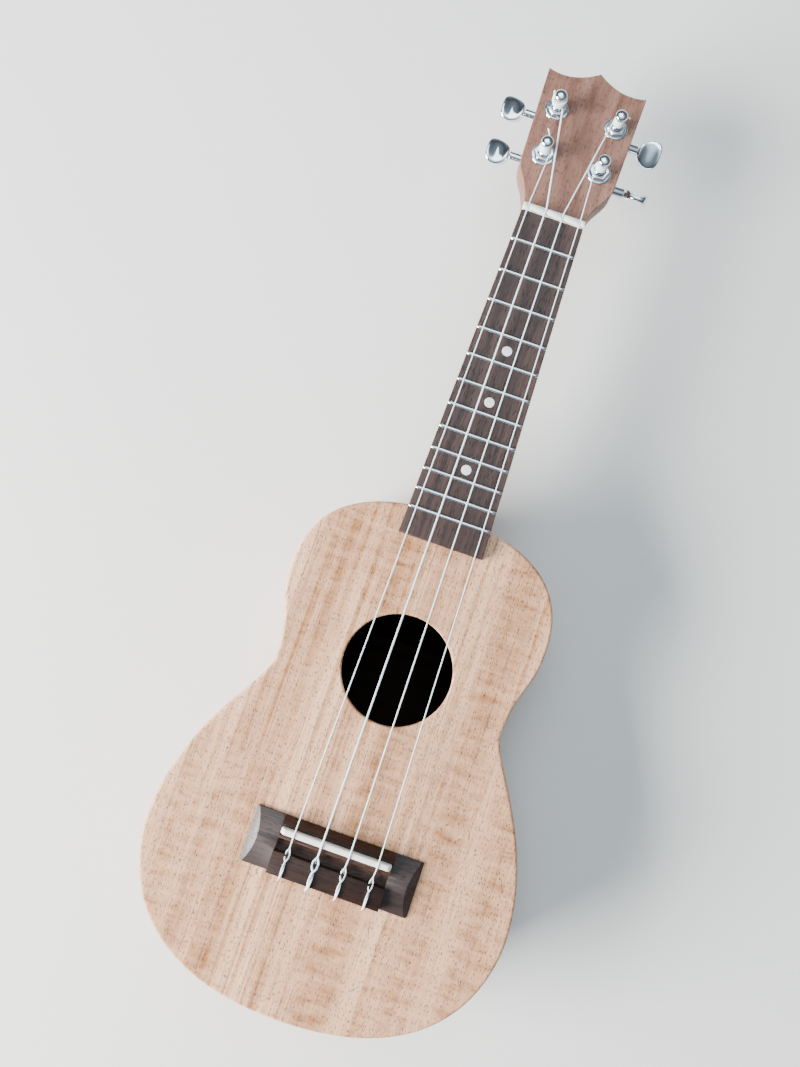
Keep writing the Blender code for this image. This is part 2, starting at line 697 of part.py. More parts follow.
def string_x(index, spacing):
    return (index - (len(STRING_NAMES) - 1) / 2.0) * spacing


def make_nut(root):
    front, back = NUT_FRONT_Y + GAP / 2.0, NUT_BACK_Y
    bottom = BODY_DEPTH + GAP
    top = FRETBOARD_FACE_Z + NUT_TOP
    outline = [
        (front, bottom),
        (back, bottom),
        (back, top - NUT_BACK_DROP),
        (back - NUT_CREST_FROM_BACK, top - NUT_CREST_DROP),
        (front + NUT_CREST_FROM_FRONT, top),
        (front, top - NUT_FRONT_DROP),
    ]
    nut = cross_solid("nut", [outline], FRETBOARD_WIDTH_AT_NUT / 2.0)
    for index, diameter in enumerate(STRING_DIAMETERS):
        x = string_x(index, STRING_SPACING_AT_NUT)
        half = diameter / 2.0 + GAP
        slot = box_solid(
            f"nut_slot_{STRING_NAMES[index]}",
            (x - half, front - NUT_THICKNESS, NUT_STRING_Z - GAP),
            (x + half, back + NUT_THICKNESS, top + NUT_TOP),
        )
        combine(nut, place_cutter(slot, root), "DIFFERENCE")
    place(nut, root, WHITE_BONE)


def wing_profile():
    """The bridge's low arched cross-section, from front to rear."""
    middle = (BRIDGE_FRONT_Y + BRIDGE_REAR_Y) / 2.0
    half = BRIDGE_DEPTH / 2.0
    points = [(BRIDGE_REAR_Y, BRIDGE_Z), (BRIDGE_FRONT_Y, BRIDGE_Z)]
    steps = CURVE_STEPS
    for index in range(steps + 1):
        share = 1.0 - 2.0 * index / steps
        rise = BRIDGE_EDGE_HEIGHT + BRIDGE_WING_RISE * (1.0 - share * share)
        points.append((middle + half * share, BRIDGE_Z + rise))
    return points


def block_profile():
    """The tie block's cross-section: front slope, saddle bed, ledge, trough and tie block."""
    top = BRIDGE_Z + BRIDGE_HEIGHT
    floor = BRIDGE_Z + TROUGH_FLOOR
    front_low = BRIDGE_Z + BRIDGE_EDGE_HEIGHT
    bed = SADDLE_Y + SADDLE_THICKNESS / 2.0 + SADDLE_BED_AHEAD
    front_in, front_down = TIE_BLOCK_FRONT_EASING
    rear_in, rear_down = TIE_BLOCK_REAR_EASING
    return [
        (BRIDGE_REAR_Y, BRIDGE_Z),
        (BRIDGE_FRONT_Y, BRIDGE_Z),
        (BRIDGE_FRONT_Y, front_low),
        ((BRIDGE_FRONT_Y + bed) / 2.0, top - BRIDGE_FRONT_BELLY),
        (bed, top - SADDLE_BED_DROP),
        (TROUGH_FRONT_Y, top - SADDLE_BED_DROP),
        (TROUGH_FRONT_Y, floor),
        (TROUGH_REAR_Y, floor),
        (TROUGH_REAR_Y, top - front_down),
        (TROUGH_REAR_Y - front_in, top),
        (BRIDGE_REAR_Y + rear_in, top),
        (BRIDGE_REAR_Y, top - rear_down),
    ]


def make_bridge(root):
    bridge = cross_solid("bridge", [block_profile()], BRIDGE_BLOCK_HALF_LENGTH)
    for name, side in SIDES:
        wing = cross_solid(f"bridge_wing_{name}", [wing_profile()], BRIDGE_HALF_LENGTH / 2.0)
        wing.data.transform(Matrix.Translation((side * BRIDGE_HALF_LENGTH / 2.0, 0.0, 0.0)))
        for vertex in wing.data.vertices:
            # The end face leans in, from the full length at the foot
            lean = (vertex.co.z - BRIDGE_Z) / (BRIDGE_EDGE_HEIGHT + BRIDGE_WING_RISE)
            if side * vertex.co.x > BRIDGE_HALF_LENGTH / 2.0:
                vertex.co.x -= side * lean * BRIDGE_WING_BEVEL
            else:
                vertex.co.x = side * (BRIDGE_BLOCK_HALF_LENGTH - BRIDGE_HEIGHT)
        trough = box_solid(
            f"wing_clearance_{name}",
            (0.0, TROUGH_REAR_Y, BRIDGE_Z + TROUGH_FLOOR),
            (
                BRIDGE_BLOCK_HALF_LENGTH - TROUGH_END_WALL,
                TROUGH_FRONT_Y,
                BRIDGE_Z + 2.0 * BRIDGE_HEIGHT,
            ),
        )
        trough.data.transform(Matrix.Scale(side, 4, (1.0, 0.0, 0.0)))
        if side < 0.0:
            trough.data.flip_normals()
        combine(wing, place_cutter(trough, root), "DIFFERENCE")
        combine(bridge, place_cutter(wing, root), "UNION")
    slot_half = SADDLE_THICKNESS / 2.0 + GAP
    slot_bottom = BRIDGE_Z + BRIDGE_HEIGHT - SADDLE_SLOT_DEPTH
    slot = box_solid(
        "saddle_slot",
        (-SADDLE_HALF_LENGTH - GAP, SADDLE_Y - slot_half, slot_bottom),
        (SADDLE_HALF_LENGTH + GAP, SADDLE_Y + slot_half, slot_bottom + 2.0 * BRIDGE_HEIGHT),
    )
    combine(bridge, place_cutter(slot, root), "DIFFERENCE")
    for index, name in enumerate(STRING_NAMES):
        hole = rod_solid(f"tie_hole_{name}", TIE_HOLE_RADIUS, BRIDGE_DEPTH, axis="Y")
        hole.location = (
            string_x(index, STRING_SPACING_AT_SADDLE),
            TROUGH_REAR_Y + GAP - BRIDGE_DEPTH / 2.0,
            BRIDGE_Z + TIE_HOLE_HEIGHT,
        )
        combine(bridge, place_cutter(hole, root), "DIFFERENCE")
    place(bridge, root, DARK_WOOD)


def make_saddle(root):
    """A bone bar with a rounded top and rounded upper corners."""
    bottom = BRIDGE_Z + BRIDGE_HEIGHT - SADDLE_SLOT_DEPTH + GAP
    top = SADDLE_STRING_Z - GAP
    corner = (top - bottom) / 2.0
    half = SADDLE_HALF_LENGTH
    outline = [(half, bottom)]
    for index in range(SADDLE_CORNER_STEPS + 1):
        turn = math.pi / 2.0 * index / SADDLE_CORNER_STEPS
        x = half - corner + corner * math.cos(turn)
        outline.append((x, top - corner + corner * math.sin(turn)))
    outline += [(-x, z) for x, z in reversed(outline)]
    saddle = flat_solid("saddle", [outline], -SADDLE_THICKNESS / 2.0, SADDLE_THICKNESS / 2.0)
    saddle.data.transform(Matrix.Rotation(math.pi / 2.0, 4, "X"))
    saddle.location = (0.0, SADDLE_Y, 0.0)
    place(saddle, root, WHITE_BONE)


def neck_section(y, half_width, depth, top, foot):
    """A D-shaped ring with a flat top; foot cuts its lowest part flat."""
    ring = []
    for index in range(NECK_SECTION_STEPS + 1):
        turn = math.pi * index / NECK_SECTION_STEPS
        across = math.copysign(abs(math.cos(turn)) ** NECK_SECTION_FULLNESS, math.cos(turn))
        down = min(math.sin(turn) / foot, 1.0)
        ring.append((half_width * across, y, top - NECK_LIP - (depth - NECK_LIP) * down))
    ring.insert(0, (half_width, y, top))
    ring.append((-half_width, y, top))
    return ring


def heel_share(y):
    """1 at the body, falling smoothly to 0 where the heel ends."""
    start = BODY_END + GAP
    left = max(0.0, 1.0 - (y - start) / HEEL_LENGTH)
    return left**HEEL_CURVE


def make_neck(root, head):
    start = BODY_END + GAP
    sections = []
    heel_stations = [start + HEEL_LENGTH * share for share in HEEL_STATIONS]
    heel_end = heel_stations[-1]
    plain_stations = [heel_end + (HEADSTOCK_Y - heel_end) * share for share in NECK_STATIONS]
    for y in heel_stations + plain_stations:
        share = (y - start) / (HEADSTOCK_Y - start)
        plain = NECK_DEPTH_AT_HEEL + (NECK_DEPTH_AT_NUT - NECK_DEPTH_AT_HEEL) * share
        heel = heel_share(y)
        depth = plain + (HEEL_DEPTH - plain) * heel
        foot = 1.0 - (1.0 - HEEL_FOOT) * heel
        sections.append(neck_section(y, fretboard_half_width(y), depth, BODY_DEPTH, foot))
    # The volute tapers into the back of the headstock
    for ahead, narrower, shallower in VOLUTE_SECTIONS:
        half_width = FRETBOARD_WIDTH_AT_NUT / 2.0 - narrower
        top = BODY_DEPTH - VOLUTE_BELOW_FRETBOARD - ahead * math.tan(HEADSTOCK_TILT)
        depth = NECK_DEPTH_AT_NUT - VOLUTE_BELOW_FRETBOARD - shallower
        sections.append(neck_section(HEADSTOCK_Y + ahead, half_width, depth, top, 1.0))
    neck = lofted_solid("neck", sections)
    plate = flat_solid("headstock_blank", [headstock_outline()], -HEADSTOCK_THICKNESS, 0.0)
    combine(neck, place_cutter(plate, head), "UNION")
    for name, side, along, spread, _ in TUNERS:
        radius = POST_RADIUS + POST_CLEARANCE + BUSHING_WALL + GAP
        length = 3.0 * HEADSTOCK_THICKNESS
        hole = rod_solid(f"post_bore_{name}", radius, length, steps=ROUND_STEPS)
        hole.location = (side * spread, along, -HEADSTOCK_THICKNESS / 2.0)
        combine(neck, place_cutter(hole, head), "DIFFERENCE")
    place(neck, root, NECK_WOOD)


def headstock_outline():
    """Half from the nut to the middle peak, then its mirror image."""
    nut_half = FRETBOARD_WIDTH_AT_NUT / 2.0
    shoulder = HEADSTOCK_HALF_WIDTH_AT_SHOULDER
    middle_x = (nut_half + shoulder) / 2.0
    middle_y = HEADSTOCK_CURVE_MIDDLE * HEADSTOCK_SHOULDER
    nut_out, nut_along = HEADSTOCK_HANDLE_AT_NUT
    middle_out, middle_along = HEADSTOCK_HANDLE_AT_MIDDLE
    shoulder_in, shoulder_along = HEADSTOCK_HANDLE_AT_SHOULDER
    right = bezier(
        (nut_half, 0.0),
        (nut_half + nut_out, nut_along * HEADSTOCK_SHOULDER),
        (middle_x - middle_out, middle_y - middle_along * HEADSTOCK_SHOULDER),
        (middle_x, middle_y),
        5,
    )
    right += bezier(
        (middle_x, middle_y),
        (middle_x + middle_out, middle_y + middle_along * HEADSTOCK_SHOULDER),
        (shoulder - shoulder_in, shoulder_along * HEADSTOCK_SHOULDER),
        (shoulder, HEADSTOCK_SHOULDER),
        6,
    )
    right.append((shoulder, HEADSTOCK_SHOULDER))
    # The tip's scallop is a parabola through the corner and the peak, lowest between them
    corner = HEADSTOCK_HALF_WIDTH_AT_TIP
    low_x = HEADSTOCK_SCALLOP_LOW
    spread = low_x**2 - (corner - low_x) ** 2
    curvature = (HEADSTOCK_LENGTH - HEADSTOCK_CORNER) / spread
    low_y = HEADSTOCK_LENGTH - curvature * low_x**2
    for index in range(HEADSTOCK_SCALLOP_STEPS + 1):
        x = corner * (1.0 - index / HEADSTOCK_SCALLOP_STEPS)
        right.append((x, low_y + curvature * (x - low_x) ** 2))
    left = [(-x, y) for x, y in reversed(right) if x > 0.0]
    return right + left


def head_point(x, along, off):
    """A place on the headstock, in the instrument's own directions."""
    sine, cosine = math.sin(HEADSTOCK_TILT), math.cos(HEADSTOCK_TILT)
    y = HEADSTOCK_Y + along * cosine + off * sine
    z = HEADSTOCK_Z - along * sine + off * cosine
    return (x, y, z)


def string_route(index):
    """From the tie block's top, round behind it, through it, over the saddle and nut, to the post."""
    name, diameter = STRING_NAMES[index], STRING_DIAMETERS[index]
    radius = diameter / 2.0
    x_bridge = string_x(index, STRING_SPACING_AT_SADDLE)
    x_nut = string_x(index, STRING_SPACING_AT_NUT)
    over = BRIDGE_Z + BRIDGE_HEIGHT + GAP + radius
    behind = BRIDGE_REAR_Y - GAP - radius
    hole_z = BRIDGE_Z + TIE_HOLE_HEIGHT
    tight, wide = STRING_BEND_TIGHT, STRING_BEND_WIDE
    route = [
        (x_bridge, TROUGH_REAR_Y - wide, over),
        (x_bridge, behind + wide, over),
        (x_bridge, behind + tight, over - tight),
        (x_bridge, behind, over - wide),
        (x_bridge, behind, hole_z + wide),
        (x_bridge, behind + tight, hole_z + tight),
        (x_bridge, behind + wide, hole_z),
        (x_bridge, TROUGH_REAR_Y + wide, hole_z),
        (x_bridge, SADDLE_Y - SADDLE_THICKNESS / 2.0 - GAP, SADDLE_STRING_Z + radius),
        (x_bridge, SADDLE_Y, SADDLE_STRING_Z + radius),
        (x_nut, NUT_FRONT_Y, NUT_STRING_Z + radius),
        (x_nut, NUT_BACK_Y, NUT_STRING_Z + radius),
    ]
    for tuner, side, along, spread, _ in TUNERS:
        if tuner == name:
            route.append(head_point(side * (spread - WINDING_RADIUS), along, WINDING_HEIGHT))
    return route


def make_strings(root):
    for index, name in enumerate(STRING_NAMES):
        curve = bpy.data.curves.new(f"string_{name}", "CURVE")
        curve.dimensions = "3D"
        curve.bevel_depth = STRING_DIAMETERS[index] / 2.0
        curve.bevel_resolution = 2
        curve.use_fill_caps = True
        route = string_route(index)
        spline = curve.splines.new("POLY")
        spline.points.add(len(route) - 1)
        for point, place_on_route in zip(spline.points, route):
            point.co = (*place_on_route, 1.0)
        place(bpy.data.objects.new(f"string_{name}", curve), root, NYLON)


def make_bushing(name, axis):
    inner = POST_RADIUS + POST_CLEARANCE
    tube = inner + BUSHING_WALL
    profile = [
        (inner, COLLAR_HEIGHT),
        (tube, COLLAR_HEIGHT),
        (tube + COLLAR_FLARE, WASHER_THICKNESS + GAP),
        (WASHER_RADIUS - WASHER_EASING, WASHER_THICKNESS),
        (WASHER_RADIUS, WASHER_THICKNESS - WASHER_EASING),
        (WASHER_RADIUS, GAP),
        (tube, GAP),
        (tube, -HEADSTOCK_THICKNESS + BUSHING_SHORT_OF_BACK),
        (inner, -HEADSTOCK_THICKNESS + BUSHING_SHORT_OF_BACK),
    ]
    place(turned_solid(f"{name}_tuner_bushing", profile, closed=True), axis, CHROME)


def make_post(name, axis):
    foot = -HEADSTOCK_THICKNESS - CASE_DEPTH + CASE_WALL + CASE_CLEARANCE
    above_gear = SHAFT_Z + GEAR_THICKNESS / 2.0 + GAP
    profile = [(share * POST_CAP_RADIUS, POST_HEIGHT - drop) for share, drop in POST_CAP_PROFILE]
    profile += [
        (POST_WAIST_RADIUS, POST_HEIGHT - POST_CAP_HEIGHT),
        (POST_WAIST_RADIUS, COLLAR_HEIGHT + POST_NECK_RISE),
        (POST_RADIUS, COLLAR_HEIGHT + POST_CLEARANCE),
        (POST_RADIUS, above_gear),
        (POST_FOOT_RADIUS, above_gear),
        (POST_FOOT_RADIUS, foot),
        (0.0, foot),
    ]
    post = turned_solid(f"{name}_string_post", profile, closed=False, steps=POST_STEPS)
    hole = rod_solid(f"post_hole_{name}", POST_HOLE_RADIUS, 4.0 * POST_RADIUS, axis="X", steps=8)
    hole.location = (0.0, 0.0, POST_HOLE_HEIGHT)
    combine(post, place_cutter(hole, axis), "DIFFERENCE")
    place(post, axis, CHROME)


def gear_outline():
    """Straight teeth with a gap on +Y, where the worm's thread meets them."""
    outline = []
    tooth = 2.0 * math.pi / GEAR_TEETH
    for index in range(GEAR_TEETH):
        middle = math.pi / 2.0 + (index + 0.5) * tooth
        tip = GEAR_TOOTH_SHARE * tooth / 2.0
        root = tip * GEAR_TOOTH_FLARE
        for turn, radius in (
            (middle - root, GEAR_ROOT_RADIUS),
            (middle - tip, GEAR_TIP_RADIUS),
            (middle + tip, GEAR_TIP_RADIUS),
            (middle + root, GEAR_ROOT_RADIUS),
        ):
            outline.append((radius * math.cos(turn), radius * math.sin(turn)))
    return outline


def make_gear(name, axis):
    bore = circle(POST_FOOT_RADIUS + GAP, SMALL_STEPS)
    low = SHAFT_Z - GEAR_THICKNESS / 2.0
    gear = flat_solid(f"{name}_post_gear", [gear_outline(), bore], low, low + GEAR_THICKNESS)
    place(gear, axis, BRASS)


def make_case(name, side, axis, spread):
    """A cast cover with a sleeve for the shaft, open towards the headstock."""
    top = -HEADSTOCK_THICKNESS - GAP
    bottom = -HEADSTOCK_THICKNESS - CASE_DEPTH
    inner_x = GEAR_TIP_RADIUS + CASE_CLEARANCE
    inner_low_y = -GEAR_TIP_RADIUS - CASE_CLEARANCE
    inner_high_y = SHAFT_DISTANCE + THREAD_CREST_RADIUS + CASE_CLEARANCE
    low = (-inner_x - CASE_WALL, inner_low_y - CASE_WALL, bottom)
    high = (inner_x + CASE_WALL, inner_high_y + CASE_WALL, top)
    case = box_solid(f"{name}_tuner_case", low, high)
    edges = case.modifiers.new("rounded_edges", "BEVEL")
    edges.width = CASE_WALL * CASE_ROUNDING
    edges.segments = 2
    edges.limit_method = "ANGLE"
    sleeve_end = KNOB_START - spread - CASE_CLEARANCE
    sleeve_start = inner_x + CASE_WALL / 2.0
    length = sleeve_end - sleeve_start
    sleeve = rod_solid(f"sleeve_{name}", SLEEVE_RADIUS, length, axis="X", steps=ROUND_STEPS)
    sleeve.location = (side * (sleeve_start + sleeve_end) / 2.0, SHAFT_DISTANCE, SHAFT_Z)
    combine(case, place_cutter(sleeve, axis), "UNION")
    hollow = box_solid(
        f"case_hollow_{name}",
        (-inner_x, inner_low_y, bottom + CASE_WALL),
        (inner_x, inner_high_y, top + HEADSTOCK_THICKNESS),
    )
    combine(case, place_cutter(hollow, axis), "DIFFERENCE")
    bore_length = KNOB_START - spread
    bore = rod_solid(f"shaft_bore_{name}", SHAFT_RADIUS + GAP, bore_length, axis="X")
    bore.location = (side * (bore_length / 2.0 + GEAR_ROOT_RADIUS), SHAFT_DISTANCE, SHAFT_Z)
    combine(case, place_cutter(bore, axis), "DIFFERENCE")
    place(case, axis, CHROME)


def make_worm_shaft(name, side, axis, spread):
    """The worm lies over the gear at x = 0 of its axis, and the shaft runs out to the knob."""
    worm_half = (WORM_TURNS / 2.0) * WORM_PITCH
    worm_end = worm_half + WORM_THREAD_RADIUS * 2.0
    shoulder = worm_end + GAP
    outer = KNOB_START - spread
    tip = outer + KNOB_BORE_DEPTH - 2.0 * GAP
    profile = [
        (0.0, tip),
        (SHAFT_END_RADIUS, tip),
        (SHAFT_END_RADIUS, outer - 2.0 * GAP),
        (SHAFT_RADIUS, outer - 2.0 * GAP),
        (SHAFT_RADIUS, shoulder),
        (WORM_CORE_RADIUS, worm_end),
        (WORM_CORE_RADIUS, -worm_end),
        (0.0, -worm_end),
    ]
    shaft = turned_solid(f"{name}_worm_shaft", profile, closed=False, steps=SMALL_STEPS)
    turn = Matrix.Rotation(side * math.pi / 2.0, 4, "Y")
    shaft.rotation_euler = turn.to_euler()
    thread = bpy.data.curves.new(f"worm_thread_{name}", "CURVE")
    thread.dimensions = "3D"
    thread.bevel_depth = WORM_THREAD_RADIUS
    thread.bevel_resolution = 1
    thread.use_fill_caps = True
    spline = thread.splines.new("POLY")
    count = int(WORM_TURNS * WORM_STEPS_A_TURN)
    spline.points.add(count)
    for index, point in enumerate(spline.points):
        # A right-hand thread about +X, whose middle faces the gear, on -Y
        angle = (index / count - 0.5) * WORM_TURNS * 2.0 * math.pi
        x = WORM_PITCH * angle / (2.0 * math.pi)
        y = WORM_THREAD_AT * math.cos(angle + math.pi)
        z = WORM_THREAD_AT * math.sin(angle + math.pi)
        point.co = (x, y, z, 1.0)
    ridge = converted(bpy.data.objects.new(thread.name, thread))
    combine(shaft, place_cutter(ridge, axis), "UNION")
    place(shaft, axis, STEEL)


def knob_sections(side):
    """Rings across the shaft's axis, broad and thin, pinched between a thick root and a thick rim."""
    sections = []
    for share, width, thickness in KNOB_SECTIONS:
        ring = []
        for index in range(KNOB_SECTION_STEPS):
            turn = 2.0 * math.pi * index / KNOB_SECTION_STEPS
            across = math.copysign(abs(math.cos(turn)) ** KNOB_EDGE_FULLNESS, math.cos(turn))
            up = math.copysign(abs(math.sin(turn)) ** KNOB_FACE_FULLNESS, math.sin(turn))
            x = side * share * KNOB_LENGTH
            y = KNOB_HALF_WIDTH * width * across
            z = KNOB_HALF_THICKNESS * thickness * up
            ring.append((x, y, z))
        sections.append(ring)
    return sections


def make_knob(name, side, axis, spread, turn):
    knob = lofted_solid(f"{name}_tuner_knob", knob_sections(side))
    knob.location = (side * (KNOB_START - spread), 0.0, 0.0)
    knob.rotation_euler = (math.radians(turn), 0.0, 0.0)
    radius, length = SHAFT_END_RADIUS + GAP, 2.0 * KNOB_BORE_DEPTH
    bore = rod_solid(f"knob_bore_{name}", radius, length, axis="X", steps=8)
    bore.location = (side * (KNOB_START - spread), 0.0, 0.0)
    combine(knob, place_cutter(bore, axis), "DIFFERENCE")
    place(knob, axis, CHROME)


def make_tuners(head):
    for name, side, along, spread, turn in TUNERS:
        post_axis = add_empty(f"{name}_post_axis", head, (side * spread, along, 0.0))
        make_bushing(name, post_axis)
        make_case(name, side, post_axis, spread)
        make_post(name, post_axis)
        make_gear(name, post_axis)
        knob_axis = add_empty(f"{name}_knob_axis", post_axis, (0.0, SHAFT_DISTANCE, SHAFT_Z))
        make_worm_shaft(name, side, knob_axis, spread)
        make_knob(name, side, knob_axis, spread, turn)


def build():
    root = add_empty("instrument", None, (0.0, -MIDDLE_Y, 0.0))
    head = add_empty(
        "headstock_face",
        root,
        (0.0, HEADSTOCK_Y, HEADSTOCK_Z),
        (-HEADSTOCK_TILT, 0.0, 0.0),
    )
    make_plates(root)
    make_sides(root)
    make_linings(root)
    make_blocks(root)
    make_braces(root)
    make_neck(root, head)
    make_fretboard(root)
    make_frets(root)
    make_nut(root)
    make_bridge(root)
    make_saddle(root)
    make_strings(root)
    make_tuners(head)


build()
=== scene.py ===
import json
import math

import bmesh
import bpy
from mathutils import Matrix, Vector


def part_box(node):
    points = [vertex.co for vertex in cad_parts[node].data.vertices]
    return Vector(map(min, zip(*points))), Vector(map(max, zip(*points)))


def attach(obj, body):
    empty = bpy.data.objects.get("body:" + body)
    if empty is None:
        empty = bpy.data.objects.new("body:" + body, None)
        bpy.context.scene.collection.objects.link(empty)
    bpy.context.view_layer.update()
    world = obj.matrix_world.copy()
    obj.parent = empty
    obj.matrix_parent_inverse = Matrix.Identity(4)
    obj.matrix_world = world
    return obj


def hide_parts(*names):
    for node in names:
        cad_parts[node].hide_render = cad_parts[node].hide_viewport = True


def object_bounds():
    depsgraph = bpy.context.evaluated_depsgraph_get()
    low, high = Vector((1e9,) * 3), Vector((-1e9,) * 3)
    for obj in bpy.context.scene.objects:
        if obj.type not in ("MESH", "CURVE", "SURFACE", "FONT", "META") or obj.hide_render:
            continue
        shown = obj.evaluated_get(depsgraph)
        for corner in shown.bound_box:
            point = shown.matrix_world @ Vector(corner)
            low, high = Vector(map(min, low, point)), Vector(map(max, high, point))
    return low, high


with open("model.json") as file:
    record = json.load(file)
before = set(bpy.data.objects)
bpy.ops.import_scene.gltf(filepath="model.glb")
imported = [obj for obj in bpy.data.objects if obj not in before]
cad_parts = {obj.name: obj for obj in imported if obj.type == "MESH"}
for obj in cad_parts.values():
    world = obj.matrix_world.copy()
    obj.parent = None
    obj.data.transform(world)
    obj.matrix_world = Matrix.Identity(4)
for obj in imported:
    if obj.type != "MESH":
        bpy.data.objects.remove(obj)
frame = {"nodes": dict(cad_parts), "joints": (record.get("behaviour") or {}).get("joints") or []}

CAD_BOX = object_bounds()
JOINTS = {joint["name"]: joint for joint in frame["joints"]}
MM = 0.001

# ---------------------------------------------------------------- sizes of this instrument

# Body outline: half widths, their places from the tail, and the fullness of each curve
WAIST_HALF_WIDTH = 61.1 * MM
UPPER_BOUT_HALF_WIDTH = 69.8 * MM
LOWER_BOUT_FROM_TAIL = 73.1 * MM
WAIST_FROM_TAIL = 166.3 * MM
UPPER_BOUT_FROM_TAIL = 216.2 * MM
TAIL_FULLNESS = 0.939
LOWER_BOUT_FULLNESS = (0.203, 0.509)
WAIST_FULLNESS = (0.120, 0.517)
UPPER_BOUT_FULLNESS = (0.467, 0.640)
NECK_END_FULLNESS = 0.675
OUTLINE_STEPS = 26
RIB_THICKNESS = 2.0 * MM
TOP_ROUNDING = 1.5 * MM
BACK_ROUNDING = 1.2 * MM
LINING_THICKNESS = 4.4 * MM
LINING_HEIGHT = 7.6 * MM
LINING_OFF_RIB = 0.3 * MM
LINING_OFF_MIDDLE = 25.0 * MM
HOLE_RADIUS = 28.7 * MM
HOLE_BELOW_BODY_FRET = 82.1 * MM
HOLE_ROUNDING = 0.9 * MM

# Scale and frets
SCALE_LENGTH = 346.0 * MM
FRET_COUNT = 12
BODY_FRET = 12
SEMITONES = 12.0
FRET_WIDTH = 2.2 * MM
FRET_HEIGHT = 1.2 * MM
DOT_FRETS = (5, 7, 10)
DOT_RADIUS = 2.65 * MM

# Strings, from the bass side
STRING_NAMES = ("g", "c", "e", "a")
STRING_DIAMETERS = (0.71 * MM, 1.02 * MM, 0.81 * MM, 0.66 * MM)
SPACING_AT_NUT = 9.6 * MM
SPACING_AT_SADDLE = 14.55 * MM
OVER_SADDLE = 0.3 * MM
OVER_FRETS = 0.5 * MM
SADDLE_NOTCH = 0.28 * MM
NUT_SLOT = 0.25 * MM

# Bridge, behind its saddle: a ledge, a trough and the block that the strings are tied to
SADDLE_LEDGE = 2.7 * MM
TROUGH_LENGTH = 6.6 * MM
TIE_HOLE_HEIGHT = 3.4 * MM
HOLE_MOUTH = 1.2 * MM
BEHIND_SADDLE = 0.2 * MM

# Neck
NECK_DEPTH_AT_NUT = 12.5 * MM
NECK_DEPTH_AT_HEEL = 15.0 * MM
HEEL_DEPTH = 52.0 * MM
HEEL_LENGTH = 44.0 * MM
HEEL_FOOT = 0.90
NECK_LIP = 1.6 * MM
HEADSTOCK_THICKNESS = 12.0 * MM
HEADSTOCK_LENGTH = 91.7 * MM
HEADSTOCK_CORNER = 85.4 * MM
HEADSTOCK_HALF_TIP = 28.6 * MM
HEADSTOCK_HALF_SHOULDER = 26.9 * MM
HEADSTOCK_SHOULDER = 27.0 * MM
HEADSTOCK_SCALLOP_LOW = 20.0 * MM
HEADSTOCK_EASING = 0.5 * MM

# Tuners: heights are off the headstock's face
SHAFT_BELOW_FACE = 17.8 * MM
CASE_DEPTH = 10.5 * MM
POST_RADIUS = 3.0 * MM
POST_WAIST = 2.2 * MM
POST_CAP = 3.5 * MM
POST_HEIGHT = 13.0 * MM
POST_HOLE_HEIGHT = 8.0 * MM
POST_HOLE_RADIUS = 0.9 * MM
POST_FOOT_RADIUS = 1.8 * MM
WASHER_RADIUS = 6.8 * MM
WASHER_THICKNESS = 0.8 * MM
HEX_RADIUS = 5.7 * MM
COLLAR_HEIGHT = 2.8 * MM
KNOB_START = 34.5 * MM
KNOB_LENGTH = 13.2 * MM
KNOB_HALF_WIDTH = 7.8 * MM
KNOB_HALF_THICKNESS = 3.3 * MM
KNOB_WAIST = 0.60
KNOB_SCREW = (1.7 * MM, 0.7 * MM)
COVER_SCREW = (1.15 * MM, 0.5 * MM)
COVER_SCREW_PLACES = ((3.0 * MM, -3.2 * MM), (-3.0 * MM, 7.4 * MM))
GEAR_TEETH = 14
GEAR_RADIUS = 3.677 * MM
GEAR_ROOT = 2.93 * MM
GEAR_THICKNESS = 2.2 * MM
WORM_PITCH = 1.65 * MM
WORM_TURNS = 3.0
WORM_CORE_RADIUS = 1.75 * MM
THREAD_RADIUS = 2.0 * MM
THREAD_DIAMETER = 0.7 * MM
SHAFT_RADIUS = 1.4 * MM
SHAFT_END_RADIUS = 1.1 * MM
# String, side of the headstock, how far its knob stands turned, how its hexagon stands turned
TUNERS = (
    ("g", -1.0, 0.0, 2.0),
    ("c", -1.0, 0.0, 20.0),
    ("e", 1.0, 35.0, 27.0),
    ("a", 1.0, -55.0, 8.0),
)
# String wound on each post: turns, radius of the lowest, middle and highest turn, and where the
# cut end stands, across, along and off the headstock from the post
WINDINGS = {
    "g": (6.0, (3.4 * MM, 3.0 * MM, 2.8 * MM), (-1.9 * MM, 6.4 * MM, 12.4 * MM)),
    "c": (4.6, (2.9 * MM, 3.6 * MM, 3.7 * MM), (-4.2 * MM, 1.6 * MM, 11.2 * MM)),
    "e": (5.4, (2.7 * MM, 2.7 * MM, 2.7 * MM), (4.9 * MM, 0.4 * MM, 10.6 * MM)),
    "a": (6.2, (2.8 * MM, 2.9 * MM, 2.7 * MM), (3.4 * MM, 1.9 * MM, 9.8 * MM)),
}

# ---------------------------------------------------------------- finishes


